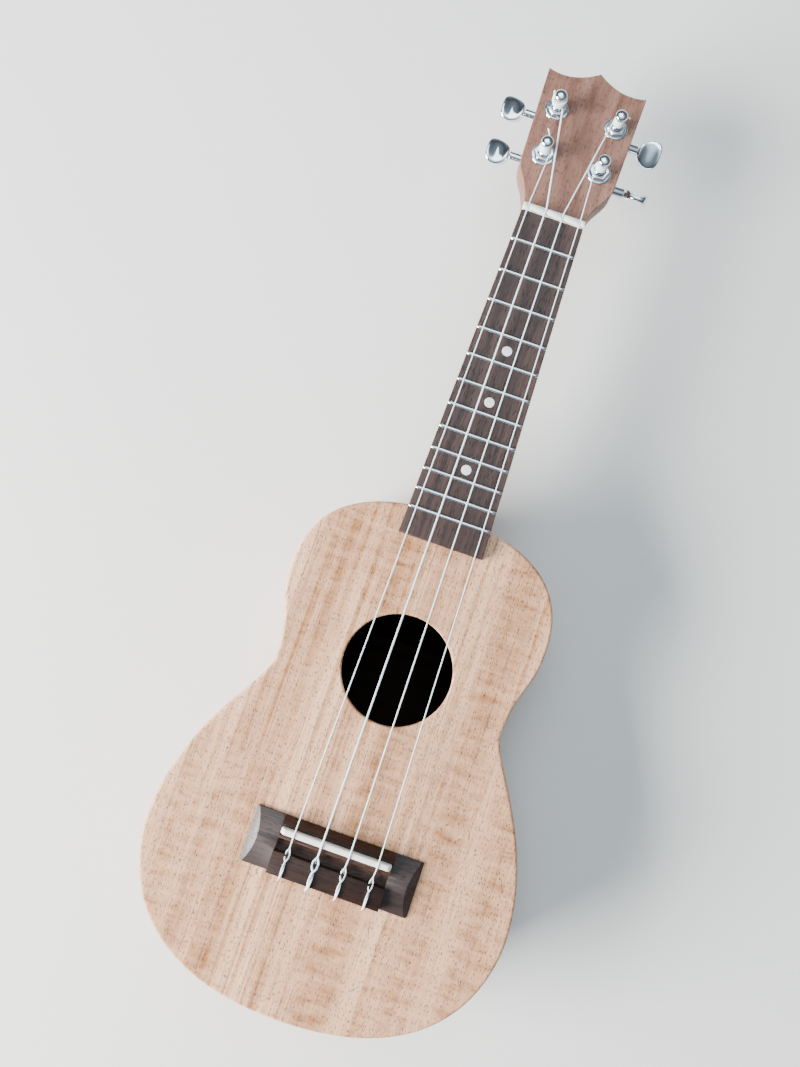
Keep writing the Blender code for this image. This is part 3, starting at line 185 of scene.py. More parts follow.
class Finish:
    """One material under construction, with short ways to add its nodes."""

    def __init__(self, name, **settings):
        self.material = bpy.data.materials.new(name)
        self.material.use_nodes = True
        self.nodes = self.material.node_tree.nodes
        self.links = self.material.node_tree.links
        self.shader = self.nodes["Principled BSDF"]
        for label, value in settings.items():
            self.shader.inputs[label.replace("_", " ")].default_value = value

    def join(self, out_socket, in_socket):
        self.links.new(out_socket, in_socket)

    def place(self, follow=None, turn=0.0):
        """Where the pattern is read: along Y of the piece, or along its own stored attribute."""
        if follow:
            source = self.nodes.new("ShaderNodeAttribute")
            source.attribute_name = follow
            out = source.outputs["Vector"]
        else:
            out = self.nodes.new("ShaderNodeTexCoord").outputs["Object"]
        mapping = self.nodes.new("ShaderNodeMapping")
        mapping.inputs["Rotation"].default_value = (0.0, 0.0, math.radians(turn))
        self.join(out, mapping.inputs["Vector"])
        return mapping.outputs["Vector"]

    def stretched(self, place, across, along, shift=0.0):
        mapping = self.nodes.new("ShaderNodeMapping")
        mapping.inputs["Location"].default_value = (shift, shift * 0.7, shift * 0.3)
        mapping.inputs["Scale"].default_value = (across, along, across)
        self.join(place, mapping.inputs["Vector"])
        return mapping.outputs["Vector"]

    def noise(self, place, scale=1.0, detail=3.0, roughness=0.55, distortion=0.0):
        node = self.nodes.new("ShaderNodeTexNoise")
        node.inputs["Scale"].default_value = scale
        node.inputs["Detail"].default_value = detail
        node.inputs["Roughness"].default_value = roughness
        node.inputs["Distortion"].default_value = distortion
        self.join(place, node.inputs["Vector"])
        return node.outputs["Fac"]

    def cells(self, place, scale=1.0):
        node = self.nodes.new("ShaderNodeTexVoronoi")
        node.inputs["Scale"].default_value = scale
        self.join(place, node.inputs["Vector"])
        return node.outputs["Distance"], node.outputs["Color"]

    def share(self, value, low, high, low_out=0.0, high_out=1.0):
        """The value stretched so that low becomes low_out and high becomes high_out."""
        node = self.nodes.new("ShaderNodeMapRange")
        for label, number in (
            ("From Min", low),
            ("From Max", high),
            ("To Min", low_out),
            ("To Max", high_out),
        ):
            node.inputs[label].default_value = number
        self.join(value, node.inputs["Value"])
        return node.outputs["Result"]

    def sum(self, first, second, operation="ADD"):
        node = self.nodes.new("ShaderNodeMath")
        node.operation = operation
        for socket, value in zip(node.inputs, (first, second)):
            if isinstance(value, float):
                socket.default_value = value
            else:
                self.join(value, socket)
        return node.outputs["Value"]

    def times(self, first, second):
        return self.sum(first, second, "MULTIPLY")

    def mixed(self, share, first, second, way="MIX"):
        node = self.nodes.new("ShaderNodeMix")
        node.data_type = "RGBA"
        node.blend_type = way
        for socket, value in (
            (node.inputs["Factor"], share),
            (node.inputs[6], first),
            (node.inputs[7], second),
        ):
            if isinstance(value, (tuple, float)):
                socket.default_value = (*value, 1.0) if isinstance(value, tuple) else value
            else:
                self.join(value, socket)
        return node.outputs[2]

    def color(self, value):
        self.join(value, self.shader.inputs["Base Color"])

    def roughness(self, value):
        self.join(value, self.shader.inputs["Roughness"])

    def relief(self, height, depth, strength=1.0):
        bump = self.nodes.new("ShaderNodeBump")
        bump.inputs["Distance"].default_value = depth
        bump.inputs["Strength"].default_value = strength
        self.join(height, bump.inputs["Height"])
        self.join(bump.outputs["Normal"], self.shader.inputs["Normal"])


def wood(name, pale, middle, dark, pore, **look):
    """Sawn wood: broad colour bands, thin streaks, fibres and open pores, all along the grain."""
    follow, turn = look.get("follow"), look.get("turn", 0.0)
    made = Finish(name, Specular_IOR_Level=look.get("shine", 0.4))
    place = made.place(follow, turn)
    wander = made.noise(made.stretched(place, 9.0, 5.0), detail=2.0)
    bands = made.noise(made.stretched(place, 46.0, 1.6, 3.1), detail=4.0, distortion=0.4)
    across, along = look.get("streak_size", (210.0, 4.5))
    streaks = made.noise(made.stretched(place, across, along, 7.7), detail=5.0, roughness=0.62)
    lines = made.noise(made.stretched(place, 560.0, 2.6, 4.3), detail=3.0)
    fibres = made.noise(made.stretched(place, 1500.0, 34.0), detail=3.0, roughness=0.7)
    figure = made.noise(made.stretched(place, 60.0, 210.0, 1.3), detail=2.0)
    band_share = made.share(made.sum(bands, made.times(wander, 0.5)), 0.64, 0.85)
    base = made.mixed(band_share, pale, middle)
    streak_share = made.share(streaks, 0.48, 0.66, 0.0, look.get("streaks", 0.5))
    base = made.mixed(streak_share, base, look.get("amber", dark))
    base = made.mixed(made.share(lines, 0.56, 0.70, 0.0, look.get("lines", 0.35)), base, dark)
    flecks = made.share(made.times(figure, wander), 0.16, 0.36, 0.0, look.get("flecks", 0.25))
    base = made.mixed(flecks, base, pale)
    base = made.mixed(made.share(fibres, 0.35, 0.75, 0.0, look.get("fibres", 0.35)), base, dark)
    distance, chance = made.cells(made.stretched(place, *look.get("pores", (1600.0, 400.0))))
    here = made.share(chance, look.get("pore_chance", 0.40), look.get("pore_chance", 0.40) + 0.10)
    opened = made.share(distance, 0.38, 0.18)
    pores = made.times(opened, here)
    base = made.mixed(made.times(pores, look.get("pore_depth", 0.75)), base, pore)
    made.color(base)
    smooth = look.get("roughness", 0.42)
    made.roughness(
        made.sum(made.share(fibres, 0.3, 0.7, smooth, smooth + 0.14), made.times(pores, 0.25))
    )
    height = made.sum(made.times(fibres, 0.25), made.times(pores, -1.0))
    made.relief(height, look.get("relief", 0.06) * MM, 0.6)
    return made.material


def plated(name, color, roughness, smudge, grain=900.0):
    """Metal with faint smudges in its shine and the finest of polishing marks."""
    made = Finish(name, Metallic=1.0, Base_Color=(*color, 1.0))
    place = made.place()
    smudges = made.noise(made.stretched(place, 160.0, 130.0), detail=4.0)
    marks = made.noise(made.stretched(place, grain, grain * 0.06), detail=3.0)
    made.roughness(made.share(smudges, 0.3, 0.75, roughness, roughness + smudge))
    made.color(
        made.mixed(made.share(smudges, 0.35, 0.8, 0.0, 0.35), color, tuple(c * 0.86 for c in color))
    )
    made.relief(marks, 0.004 * MM, 0.35)
    return made.material


def smooth_white(name, color, roughness, mottled, depth):
    """Bone or moulded plastic: a soft white with a slight cloudiness."""
    made = Finish(name, Subsurface_Weight=0.15, Subsurface_Scale=0.6 * MM)
    place = made.place()
    clouds = made.noise(made.stretched(place, 220.0, 190.0), detail=4.0)
    marks = made.noise(made.stretched(place, 2600.0, 1900.0), detail=2.0)
    made.color(made.mixed(made.share(clouds, 0.3, 0.75), color, tuple(c * mottled for c in color)))
    made.roughness(made.share(clouds, 0.3, 0.7, roughness, roughness + 0.12))
    made.relief(marks, depth, 0.3)
    return made.material


def clear_nylon(name):
    """Drawn nylon: nearly colourless, glossy, with light passing through it; its pale cyan tint is
    a painted reflection of the bluish sky.
    """
    made = Finish(name, Transmission_Weight=0.08, IOR=1.53, Subsurface_Weight=0.2)
    made.shader.inputs["Subsurface Scale"].default_value = 0.4 * MM
    place = made.place()
    drawn = made.noise(made.stretched(place, 2200.0, 60.0), detail=2.0)
    # The cyan in these colours is painted reflection of the bluish sky, not the nylon's own colour
    made.color(made.mixed(made.share(drawn, 0.3, 0.7), (0.84, 0.96, 1.0), (0.78, 0.91, 0.96)))
    made.roughness(made.share(drawn, 0.3, 0.7, 0.16, 0.30))
    made.relief(drawn, 0.006 * MM, 0.3)
    return made.material


TOP_WOOD = wood(
    "soundboard_wood",
    (0.92, 0.53, 0.325),
    (0.44, 0.200, 0.092),
    (0.095, 0.034, 0.017),
    (0.020, 0.007, 0.005),
    amber=(0.36, 0.145, 0.038),
    streaks=0.95,
    lines=0.62,
    fibres=0.45,
    flecks=0.55,
    pores=(1900.0, 420.0),
    pore_chance=0.34,
    pore_depth=0.85,
    shine=0.30,
    roughness=0.46,
    relief=0.10,
)
BODY_COLORS = ((0.66, 0.35, 0.225), (0.44, 0.20, 0.105), (0.17, 0.060, 0.028), (0.07, 0.025, 0.015))
RIB_WOOD = wood("rib_wood", *BODY_COLORS, follow="grain_way", streaks=0.60)
BACK_WOOD = wood("back_wood", *BODY_COLORS, streaks=0.60)
NECK_WOOD = wood(
    "neck_wood",
    (0.39, 0.210, 0.152),
    (0.225, 0.108, 0.076),
    (0.095, 0.034, 0.020),
    (0.045, 0.017, 0.011),
    streaks=0.75,
    lines=0.55,
    flecks=0.20,
    shine=0.30,
    pores=(1300.0, 300.0),
    pore_chance=0.40,
    pore_depth=0.7,
)
# Near-black wood for everything inside the body: painted shade, standing for the inside's own
# darkness
INNER_PAINTED_SHADE = wood(
    "inner_wood",
    (0.012, 0.008, 0.006),
    (0.008, 0.005, 0.004),
    (0.004, 0.003, 0.002),
    (0.002, 0.001, 0.001),
    turn=90.0,
    shine=0.0,
    pore_chance=0.85,
    roughness=0.8,
)
# What the fretboard and the bridge have alike: close grain with short open pores
CLOSE_GRAIN = {
    "streak_size": (420.0, 16.0),
    "flecks": 0.15,
    "fibres": 0.5,
    "pores": (1400.0, 190.0),
    "pore_chance": 0.35,
    "relief": 0.08,
}
BOARD_WOOD = wood(
    "fretboard_wood",
    (0.094, 0.052, 0.041),
    (0.034, 0.017, 0.014),
    (0.007, 0.003, 0.004),
    (0.003, 0.002, 0.003),
    streaks=0.9,
    shine=0.35,
    roughness=0.40,
    **CLOSE_GRAIN,
)
BRIDGE_WOOD = wood(
    "bridge_wood",
    (0.058, 0.026, 0.016),
    (0.024, 0.009, 0.006),
    (0.006, 0.002, 0.002),
    (0.002, 0.001, 0.001),
    turn=90.0,
    streaks=0.9,
    shine=0.25,
    roughness=0.40,
    **CLOSE_GRAIN,
)
# Paler, greyer wood for the bridge's scooped wings: a painted sheen, standing for the light they
# catch
WING_PAINTED_SHEEN = wood(
    "bridge_wing_painted_sheen",
    (0.088, 0.064, 0.060),
    (0.034, 0.022, 0.020),
    (0.016, 0.009, 0.009),
    (0.004, 0.003, 0.003),
    turn=90.0,
    streaks=0.95,
    roughness=0.34,
    **CLOSE_GRAIN,
)
CHROME = plated("bright_chrome", (0.80, 0.86, 0.92), 0.05, 0.09)
FRET_METAL = plated("nickel_silver", (0.78, 0.84, 0.88), 0.16, 0.10, 1400.0)
SHAFT_STEEL = plated("turned_steel", (0.56, 0.56, 0.57), 0.28, 0.15)
GEAR_BRASS = plated("cut_brass", (0.78, 0.57, 0.24), 0.26, 0.16)
BONE = smooth_white("white_bone", (0.90, 0.90, 0.86), 0.28, 0.94, 0.01 * MM)
DOT_PLASTIC = smooth_white("dot_plastic", (0.91, 0.92, 0.92), 0.22, 0.96, 0.004 * MM)
NYLON = clear_nylon("clear_nylon")

# ---------------------------------------------------------------- pieces in mesh code


def full_turn(steps):
    return [2.0 * math.pi * index / steps for index in range(steps)]


def quarter_turn(steps):
    return [math.pi / 2.0 * index / steps for index in range(steps + 1)]


def squared(value, power):
    """The value to a power, with its sign kept: it makes a circle's sides flatter."""
    return math.copysign(abs(value) ** power, value)


def finished(obj, body, slot, *nodes, sharp=34.0, material=None):
    """Puts a made piece on its body, gives it a material if one is passed and hides the nodes it
    stands for; slot is not used.
    """
    if obj.name not in bpy.context.scene.collection.objects:
        bpy.context.scene.collection.objects.link(obj)
    if material:
        obj.data.materials.clear()
        obj.data.materials.append(material)
    obj.data.shade_smooth()
    obj.data.set_sharp_from_angle(angle=math.radians(sharp))
    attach(obj, body)
    if nodes:
        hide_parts(*nodes)
    return obj


def mesh_piece(name, bm, material, matrix=None):
    bmesh.ops.recalc_face_normals(bm, faces=bm.faces)
    mesh = bpy.data.meshes.new(name)
    bm.to_mesh(mesh)
    bm.free()
    if matrix:
        mesh.transform(matrix)
    mesh.materials.append(material)
    obj = bpy.data.objects.new(name, mesh)
    bpy.context.scene.collection.objects.link(obj)
    return obj


def skin(bm, rings, closed_ring=True):
    """Quads between rings of equally many points."""
    for ring, following in zip(rings, rings[1:]):
        count = len(ring) if closed_ring else len(ring) - 1
        for index in range(count):
            after = (index + 1) % len(ring)
            corners = (ring[index], ring[after], following[after], following[index])
            unlike = list(dict.fromkeys(corners))
            if len(unlike) > 2:
                bm.faces.new(unlike)


def lofted(name, sections, material, matrix=None):
    bm = bmesh.new()
    rings = [[bm.verts.new(point) for point in section] for section in sections]
    skin(bm, rings)
    bm.faces.new(rings[0])
    bm.faces.new(rings[-1])
    return mesh_piece(name, bm, material, matrix)


def turned(name, profile, material, matrix=None, sides=64, closed=False):
    """A profile of radii and heights turned about Z; a closed one is a ring with a bore."""
    bm = bmesh.new()
    rings = []
    for radius, height in profile:
        if radius < 0.001 * MM:
            rings.append([bm.verts.new((0.0, 0.0, height))] * sides)
            continue
        rings.append([bm.verts.new((x, y, height)) for x, y in circle(radius, sides)])
    if closed:
        rings.append(rings[0])
    skin(bm, rings)
    return mesh_piece(name, bm, material, matrix)


def rounded_profile(points, radius, steps=4):
    """The same line with each inner corner rounded."""
    made = [Vector(points[0])]
    for before, corner, after in zip(points, points[1:], points[2:]):
        before, corner, after = Vector(before), Vector(corner), Vector(after)
        reach_in = min(radius, (before - corner).length * 0.45)
        reach_out = min(radius, (after - corner).length * 0.45)
        start = corner + (before - corner).normalized() * reach_in
        end = corner + (after - corner).normalized() * reach_out
        for index in range(steps + 1):
            t = index / steps
            near, far = (1.0 - t) ** 2, t * t
            made.append(start * near + corner * 2.0 * t * (1.0 - t) + end * far)
    made.append(Vector(points[-1]))
    return [tuple(point) for point in made]


def inward(outline):
    """For each point of a closed outline drawn anticlockwise, the direction to its inside."""
    found = []
    count = len(outline)
    for index in range(count):
        before = Vector(outline[index - 1])
        here = Vector(outline[index])
        after = Vector(outline[(index + 1) % count])
        first, second = (here - before).normalized(), (after - here).normalized()
        side = Vector((-first.y - second.y, first.x + second.x)).normalized()
        half = max(0.4, side.dot(Vector((-first.y, first.x))))
        found.append(side / half)
    return found


def edge_levels(low, high, low_round, high_round, steps=5):
    """How far in and how high each ring of a plate's edge lies, from its underside to its face."""
    # A ring just inside each rounding keeps the flat face flat in its shading
    inside = 1.0 + 0.35
    turns = [(1.0 - math.sin(turn), 1.0 - math.cos(turn)) for turn in quarter_turn(steps)]
    if low_round:
        levels = [(low_round * inside, low)]
        levels += [(low_round * lean, low + low_round * rise) for lean, rise in turns]
    else:
        levels = [(0.0, low)]
    if high_round:
        levels += [(high_round * lean, high - high_round * drop) for drop, lean in turns]
        levels.append((high_round * inside, high))
    else:
        levels.append((0.0, high))
    return levels


def plate(name, outline, holes, levels, hole_levels, material, matrix=None):
    """A flat piece with a shaped edge; holes have an edge of their own."""
    bm = bmesh.new()
    low_edges, high_edges = [], []
    for points, steps, sign in [(outline, levels, 1.0)] + [(h, hole_levels, -1.0) for h in holes]:
        sides = inward(points)
        rings = []
        for inset, height in steps:
            rings.append(
                [
                    bm.verts.new((x + sign * inset * s.x, y + sign * inset * s.y, height))
                    for (x, y), s in zip(points, sides)
                ]
            )
        skin(bm, rings)
        for ring, edges in ((rings[0], low_edges), (rings[-1], high_edges)):
            for index, vertex in enumerate(ring):
                edges.append(bm.edges.get((vertex, ring[(index + 1) % len(ring)])))
    for edges, normal in ((low_edges, (0.0, 0.0, -1.0)), (high_edges, (0.0, 0.0, 1.0))):
        bmesh.ops.triangle_fill(bm, use_beauty=True, edges=edges, normal=normal)
    return mesh_piece(name, bm, material, matrix)


def circle(radius, steps, x=0.0, y=0.0):
    turns = full_turn(steps)
    return [(x + radius * math.cos(turn), y + radius * math.sin(turn)) for turn in turns]


def bezier(start, start_handle, end_handle, end, steps):
    points = []
    for index in range(steps):
        t = index / steps
        weights = ((1.0 - t) ** 3, 3.0 * (1.0 - t) ** 2 * t, 3.0 * (1.0 - t) * t * t, t**3)
        corners = (start, start_handle, end_handle, end)
        points.append(
            tuple(sum(w * corner[axis] for w, corner in zip(weights, corners)) for axis in (0, 1))
        )
    return points


def copy_of(node, name, material, easing=0.0, segments=2):
    """A CAD node's shape with its faces merged and its edges eased."""
    bm = bmesh.new()
    bm.from_mesh(frame["nodes"][node].data)
    bmesh.ops.remove_doubles(bm, verts=bm.verts, dist=0.002 * MM)
    bmesh.ops.dissolve_limit(
        bm, angle_limit=math.radians(0.6), verts=bm.verts, edges=bm.edges, delimit={"NORMAL"}
    )
    obj = mesh_piece(name, bm, material)
    if easing:
        edges = obj.modifiers.new("eased_edges", "BEVEL")
        edges.width = easing
        edges.segments = segments
        edges.limit_method = "ANGLE"
        edges.angle_limit = math.radians(38.0)
        obj = settled(obj)
    return obj


def settled(obj):
    """The same object with its modifiers made part of its mesh."""
    bpy.context.view_layer.update()
    graph = bpy.context.evaluated_depsgraph_get()
    mesh = bpy.data.meshes.new_from_object(obj.evaluated_get(graph))
    obj.modifiers.clear()
    obj.data = mesh
    return obj


def cut_or_joined(obj, other, operation):
    """Joins or cuts another mesh, which is then used up."""
    modifier = obj.modifiers.new(operation, "BOOLEAN")
    modifier.operation = operation
    modifier.object = other
    modifier.solver = "EXACT"
    settled(obj)
    bpy.data.objects.remove(other, do_unlink=True)
    return obj


# ---------------------------------------------------------------- pieces in Geometry Nodes


class Tree:
    """A Geometry Nodes tree under construction, with named inputs; the last is its material."""

    def __init__(self, name, inputs):
        self.group = bpy.data.node_groups.new(name, "GeometryNodeTree")
        face = self.group.interface
        face.new_socket("Geometry", in_out="INPUT", socket_type="NodeSocketGeometry")
        for label, kind, value in (*inputs, ("Material", "Material", None)):
            item = face.new_socket(label, in_out="INPUT", socket_type="NodeSocket" + kind)
            if value is not None:
                item.default_value = value
        face.new_socket("Geometry", in_out="OUTPUT", socket_type="NodeSocketGeometry")
        self.input = self.group.nodes.new("NodeGroupInput")
        self.output = self.group.nodes.new("NodeGroupOutput")

    def given(self, label):
        return self.input.outputs[label]

    def add(self, kind, _settings=None, **sockets):
        """A node with its settings, and its inputs joined or set by name."""
        node = self.group.nodes.new(kind)
        for label, value in (_settings or {}).items():
            setattr(node, label, value)
        for label, value in sockets.items():
            socket = next(s for s in node.inputs if s.enabled and s.name == label.replace("_", " "))
            if isinstance(value, bpy.types.NodeSocket):
                self.group.links.new(value, socket)
            else:
                socket.default_value = value
        return node

    def sum(self, operation, *values):
        node = self.group.nodes.new("ShaderNodeMath")
        node.operation = operation
        for socket, value in zip(node.inputs, values):
            if isinstance(value, bpy.types.NodeSocket):
                self.group.links.new(value, socket)
            else:
                socket.default_value = value
        return node.outputs["Value"]

    def vector(self, x=0.0, y=0.0, z=0.0):
        return self.add("ShaderNodeCombineXYZ", X=x, Y=y, Z=z).outputs["Vector"]

    def swept(self, curve, section, **more):
        """A solid with the given section all along a curve."""
        bar = self.add(
            "GeometryNodeCurveToMesh",
            Curve=curve,
            Profile_Curve=section,
            Fill_Caps=True,
            **more,
        )
        return bar.outputs["Mesh"]

    def round_bar(self, curve, sides):
        """A round bar along a curve, as thick as the tree's Diameter."""
        section = self.add(
            "GeometryNodeCurvePrimitiveCircle",
            Resolution=sides,
            Radius=self.sum("MULTIPLY", self.given("Diameter"), 0.5),
        )
        return self.swept(curve, section.outputs["Curve"])

    def close(self, geometry):
        """Ends the tree: instances made real, and one material."""
        real = self.add("GeometryNodeRealizeInstances", Geometry=geometry)
        finish = self.add(
            "GeometryNodeSetMaterial",
            Geometry=real.outputs["Geometry"],
            Material=self.given("Material"),
        )
        self.group.links.new(finish.outputs["Geometry"], self.output.inputs["Geometry"])
        return self


def path_mesh(name, points, closed=False):
    mesh = bpy.data.meshes.new(name)
    edges = [(index, index + 1) for index in range(len(points) - 1)]
    if closed:
        edges.append((len(points) - 1, 0))
    mesh.from_pydata([tuple(point) for point in points], edges, [])
    return mesh


def grown(name, tree, start_mesh, matrix=None, **settings):
    """Runs a tree on a starting mesh and keeps the result as a plain mesh."""
    keys = {
        item.name: item.identifier
        for item in tree.group.interface.items_tree
        if item.item_type == "SOCKET" and item.in_out == "INPUT"
    }
    holder = bpy.data.objects.new(name + "_start", start_mesh)
    step = holder.modifiers.new("grown", "NODES")
    step.node_group = tree.group
    for label, value in settings.items():
        step[keys[label.replace("_", " ")]] = value
    bpy.context.scene.collection.objects.link(holder)
    bpy.context.view_layer.update()
    graph = bpy.context.evaluated_depsgraph_get()
    mesh = bpy.data.meshes.new_from_object(holder.evaluated_get(graph))
    holder.modifiers.remove(step)
    bpy.data.objects.remove(holder, do_unlink=True)
    if matrix:
        mesh.transform(matrix)
    obj = bpy.data.objects.new(name, mesh)
    bpy.context.scene.collection.objects.link(obj)
    return obj


def cord_tree():
    """A round cord along the starting line, with small bends where the line turns."""
    tree = Tree(
        "cord_along_path",
        [("Diameter", "Float", 0.8 * MM), ("Bend", "Float", 0.5 * MM), ("Sides", "Int", 14)],
    )
    line = tree.add("GeometryNodeMeshToCurve", Mesh=tree.given("Geometry"))
    bent = tree.add(
        "GeometryNodeFilletCurve",
        {"mode": "POLY"},
        Curve=line.outputs["Curve"],
        Count=3,
        Radius=tree.given("Bend"),
        Limit_Radius=True,
    )
    return tree.close(tree.round_bar(bent.outputs["Curve"], tree.given("Sides")))


def thread_tree():
    """A worm's thread: a round bar wound round an upright core."""
    tree = Tree(
        "wound_thread",
        [
            ("Turns", "Float", 4.0),
            ("Low Radius", "Float", 3.0 * MM),
            ("High Radius", "Float", 3.0 * MM),
            ("Height", "Float", 4.0 * MM),
            ("Diameter", "Float", 0.8 * MM),
            ("Clockwise", "Bool", False),
            ("Steps A Turn", "Int", 28),
        ],
    )
    coil = tree.add(
        "GeometryNodeCurveSpiral",
        Resolution=tree.given("Steps A Turn"),
        Rotations=tree.given("Turns"),
        Start_Radius=tree.given("Low Radius"),
        End_Radius=tree.given("High Radius"),
        Height=tree.given("Height"),
        Reverse=tree.given("Clockwise"),
    )
    return tree.close(tree.round_bar(coil.outputs["Curve"], 12))


def fret_tree():
    """Fret wire cut to the board's width at each place that the scale's rule gives."""
    tree = Tree(
        "fret_row",
        [
            ("Count", "Int", FRET_COUNT),
            ("Scale Length", "Float", SCALE_LENGTH),
            ("Scale Start", "Float", 0.0),
            ("Width At Start", "Float", 35.0 * MM),
            ("Width A Metre", "Float", 0.05),
            ("Wire Width", "Float", FRET_WIDTH),
            ("Wire Height", "Float", FRET_HEIGHT),
            ("Board Height", "Float", 65.0 * MM),
        ],
    )
    row = tree.add("GeometryNodeMeshLine", Count=tree.given("Count"))
    number = tree.sum("ADD", tree.add("GeometryNodeInputIndex").outputs["Index"], 1.0)
    left = tree.sum("POWER", 2.0, tree.sum("DIVIDE", tree.sum("MULTIPLY", number, -1.0), SEMITONES))
    gone = tree.sum("MULTIPLY", tree.given("Scale Length"), tree.sum("SUBTRACT", 1.0, left))
    along = tree.sum("SUBTRACT", tree.given("Scale Start"), gone)
    points = tree.add(
        "GeometryNodeSetPosition",
        Geometry=row.outputs["Mesh"],
        Position=tree.vector(y=along, z=tree.given("Board Height")),
    )
    wire = tree.add("GeometryNodeCurvePrimitiveLine", Start=(-1.0, 0.0, 0.0), End=(1.0, 0.0, 0.0))
    fine = tree.add("GeometryNodeResampleCurve", Curve=wire.outputs["Curve"], Count=41)
    # The wire's ends are filed down: its section shrinks over the last few hundredths
    reach = tree.sum(
        "ABSOLUTE",
        tree.sum(
            "SUBTRACT",
            tree.sum("MULTIPLY", tree.add("GeometryNodeSplineParameter").outputs["Factor"], 2.0),
            1.0,
        ),
    )
    slope = tree.add(
        "ShaderNodeMapRange",
        Value=reach,
        From_Min=0.945,
        From_Max=1.0,
        To_Min=1.0,
        To_Max=0.5,
    )
    filed = tree.add(
        "GeometryNodeSetCurveRadius",
        Curve=fine.outputs["Curve"],
        Radius=slope.outputs["Result"],
    )
    upright = tree.add("GeometryNodeSetCurveNormal", Curve=filed.outputs["Curve"])
    crown = tree.add(
        "GeometryNodeCurveArc",
        Resolution=15,
        Radius=0.5,
        Start_Angle=math.pi,
        Sweep_Angle=math.pi,
    )
    crown_line = tree.add("GeometryNodeCurveToMesh", Curve=crown.outputs["Curve"])
    closed = tree.add("GeometryNodeMeshToCurve", Mesh=crown_line.outputs["Mesh"])
    ring = tree.add("GeometryNodeSetSplineCyclic", Geometry=closed.outputs["Curve"], Cyclic=True)
    bar = tree.swept(
        upright.outputs["Curve"],
        ring.outputs["Geometry"],
        Scale=tree.add("GeometryNodeInputRadius").outputs["Radius"],
    )
    width = tree.sum(
        "MULTIPLY_ADD",
        gone,
        tree.given("Width A Metre"),
        tree.given("Width At Start"),
    )
    tall = tree.sum("MULTIPLY", tree.given("Wire Height"), 2.0)
    size = tree.vector(tree.sum("MULTIPLY", width, 0.5), tree.given("Wire Width"), tall)
    frets = tree.add(
        "GeometryNodeInstanceOnPoints",
        Points=points.outputs["Geometry"],
        Instance=bar,
        Scale=size,
    )
    return tree.close(frets.outputs["Instances"])


def repeat_tree():
    """The same small piece at each point of the starting mesh, turned as the point says."""
    tree = Tree("repeated_piece", [("Piece", "Object", None)])
    piece = tree.add("GeometryNodeObjectInfo", Object=tree.given("Piece"))
    turn = tree.add("GeometryNodeInputNamedAttribute", {"data_type": "FLOAT_VECTOR"}, Name="turn")
    copies = tree.add(
        "GeometryNodeInstanceOnPoints",
        Points=tree.given("Geometry"),
        Instance=piece.outputs["Geometry"],
        Rotation=turn.outputs["Attribute"],
    )
    return tree.close(copies.outputs["Instances"])


def strip_tree():
    """A thin strip of wood bent on edge along the starting line, which stores its grain's way."""
    tree = Tree(
        "bent_strip",
        [("Thickness", "Float", RIB_THICKNESS), ("Height", "Float", 50.0 * MM)],
    )
    line = tree.add("GeometryNodeMeshToCurve", Mesh=tree.given("Geometry"))
    way = tree.add(
        "GeometryNodeCaptureAttribute",
        {"domain": "POINT"},
        Geometry=line.outputs["Curve"],
    )
    way.capture_items.new("FLOAT", "Length")
    length = tree.add("GeometryNodeSplineParameter").outputs["Length"]
    tree.group.links.new(length, way.inputs["Length"])
    upright = tree.add(
        "GeometryNodeSetCurveNormal",
        {"mode": "Z_UP"},
        Curve=way.outputs["Geometry"],
    )
    section = tree.add(
        "GeometryNodeCurvePrimitiveQuadrilateral",
        Width=tree.given("Thickness"),
        Height=tree.given("Height"),
    )
    strip = tree.swept(upright.outputs["Curve"], section.outputs["Curve"])
    height = tree.add(
        "ShaderNodeSeparateXYZ", Vector=tree.add("GeometryNodeInputPosition").outputs["Position"]
    )
    stored = tree.add(
        "GeometryNodeStoreNamedAttribute",
        {"data_type": "FLOAT_VECTOR", "domain": "POINT"},
        Geometry=strip,
        Name="grain_way",
        Value=tree.vector(height.outputs["Z"], way.outputs["Length"], 0.0),
    )
    return tree.close(stored.outputs["Geometry"])


def kerf_tree():
    """A lining of small separate blocks, glued side by side along the starting line."""
    tree = Tree(
        "block_lining",
        [
            ("Spacing", "Float", 6.0 * MM),
            ("Kerf", "Float", 0.9 * MM),
            ("Thickness", "Float", 4.0 * MM),
            ("Height", "Float", 8.0 * MM),
        ],
    )
    line = tree.add("GeometryNodeMeshToCurve", Mesh=tree.given("Geometry"))
    stations = tree.add(
        "GeometryNodeCurveToPoints",
        {"mode": "LENGTH"},
        Curve=line.outputs["Curve"],
        Length=tree.given("Spacing"),
    )
    way = tree.add(
        "FunctionNodeAlignRotationToVector",
        {"axis": "Y"},
        Vector=stations.outputs["Tangent"],
    )
    size = tree.vector(
        tree.given("Thickness"),
        tree.sum("SUBTRACT", tree.given("Spacing"), tree.given("Kerf")),
        tree.given("Height"),
    )
    block = tree.add("GeometryNodeMeshCube", Size=size)
    blocks = tree.add(
        "GeometryNodeInstanceOnPoints",
        Points=stations.outputs["Points"],
        Instance=block.outputs["Mesh"],
        Rotation=way.outputs["Rotation"],
    )
    return tree.close(blocks.outputs["Instances"])


CORD = cord_tree()
THREAD = thread_tree()
FRETS = fret_tree()
REPEAT = repeat_tree()
STRIP = strip_tree()
KERFED = kerf_tree()

# ---------------------------------------------------------------- body


def scale_share(fret):
    """How much of the scale lies between the nut and a fret."""
    return 1.0 - 2.0 ** (-fret / SEMITONES)


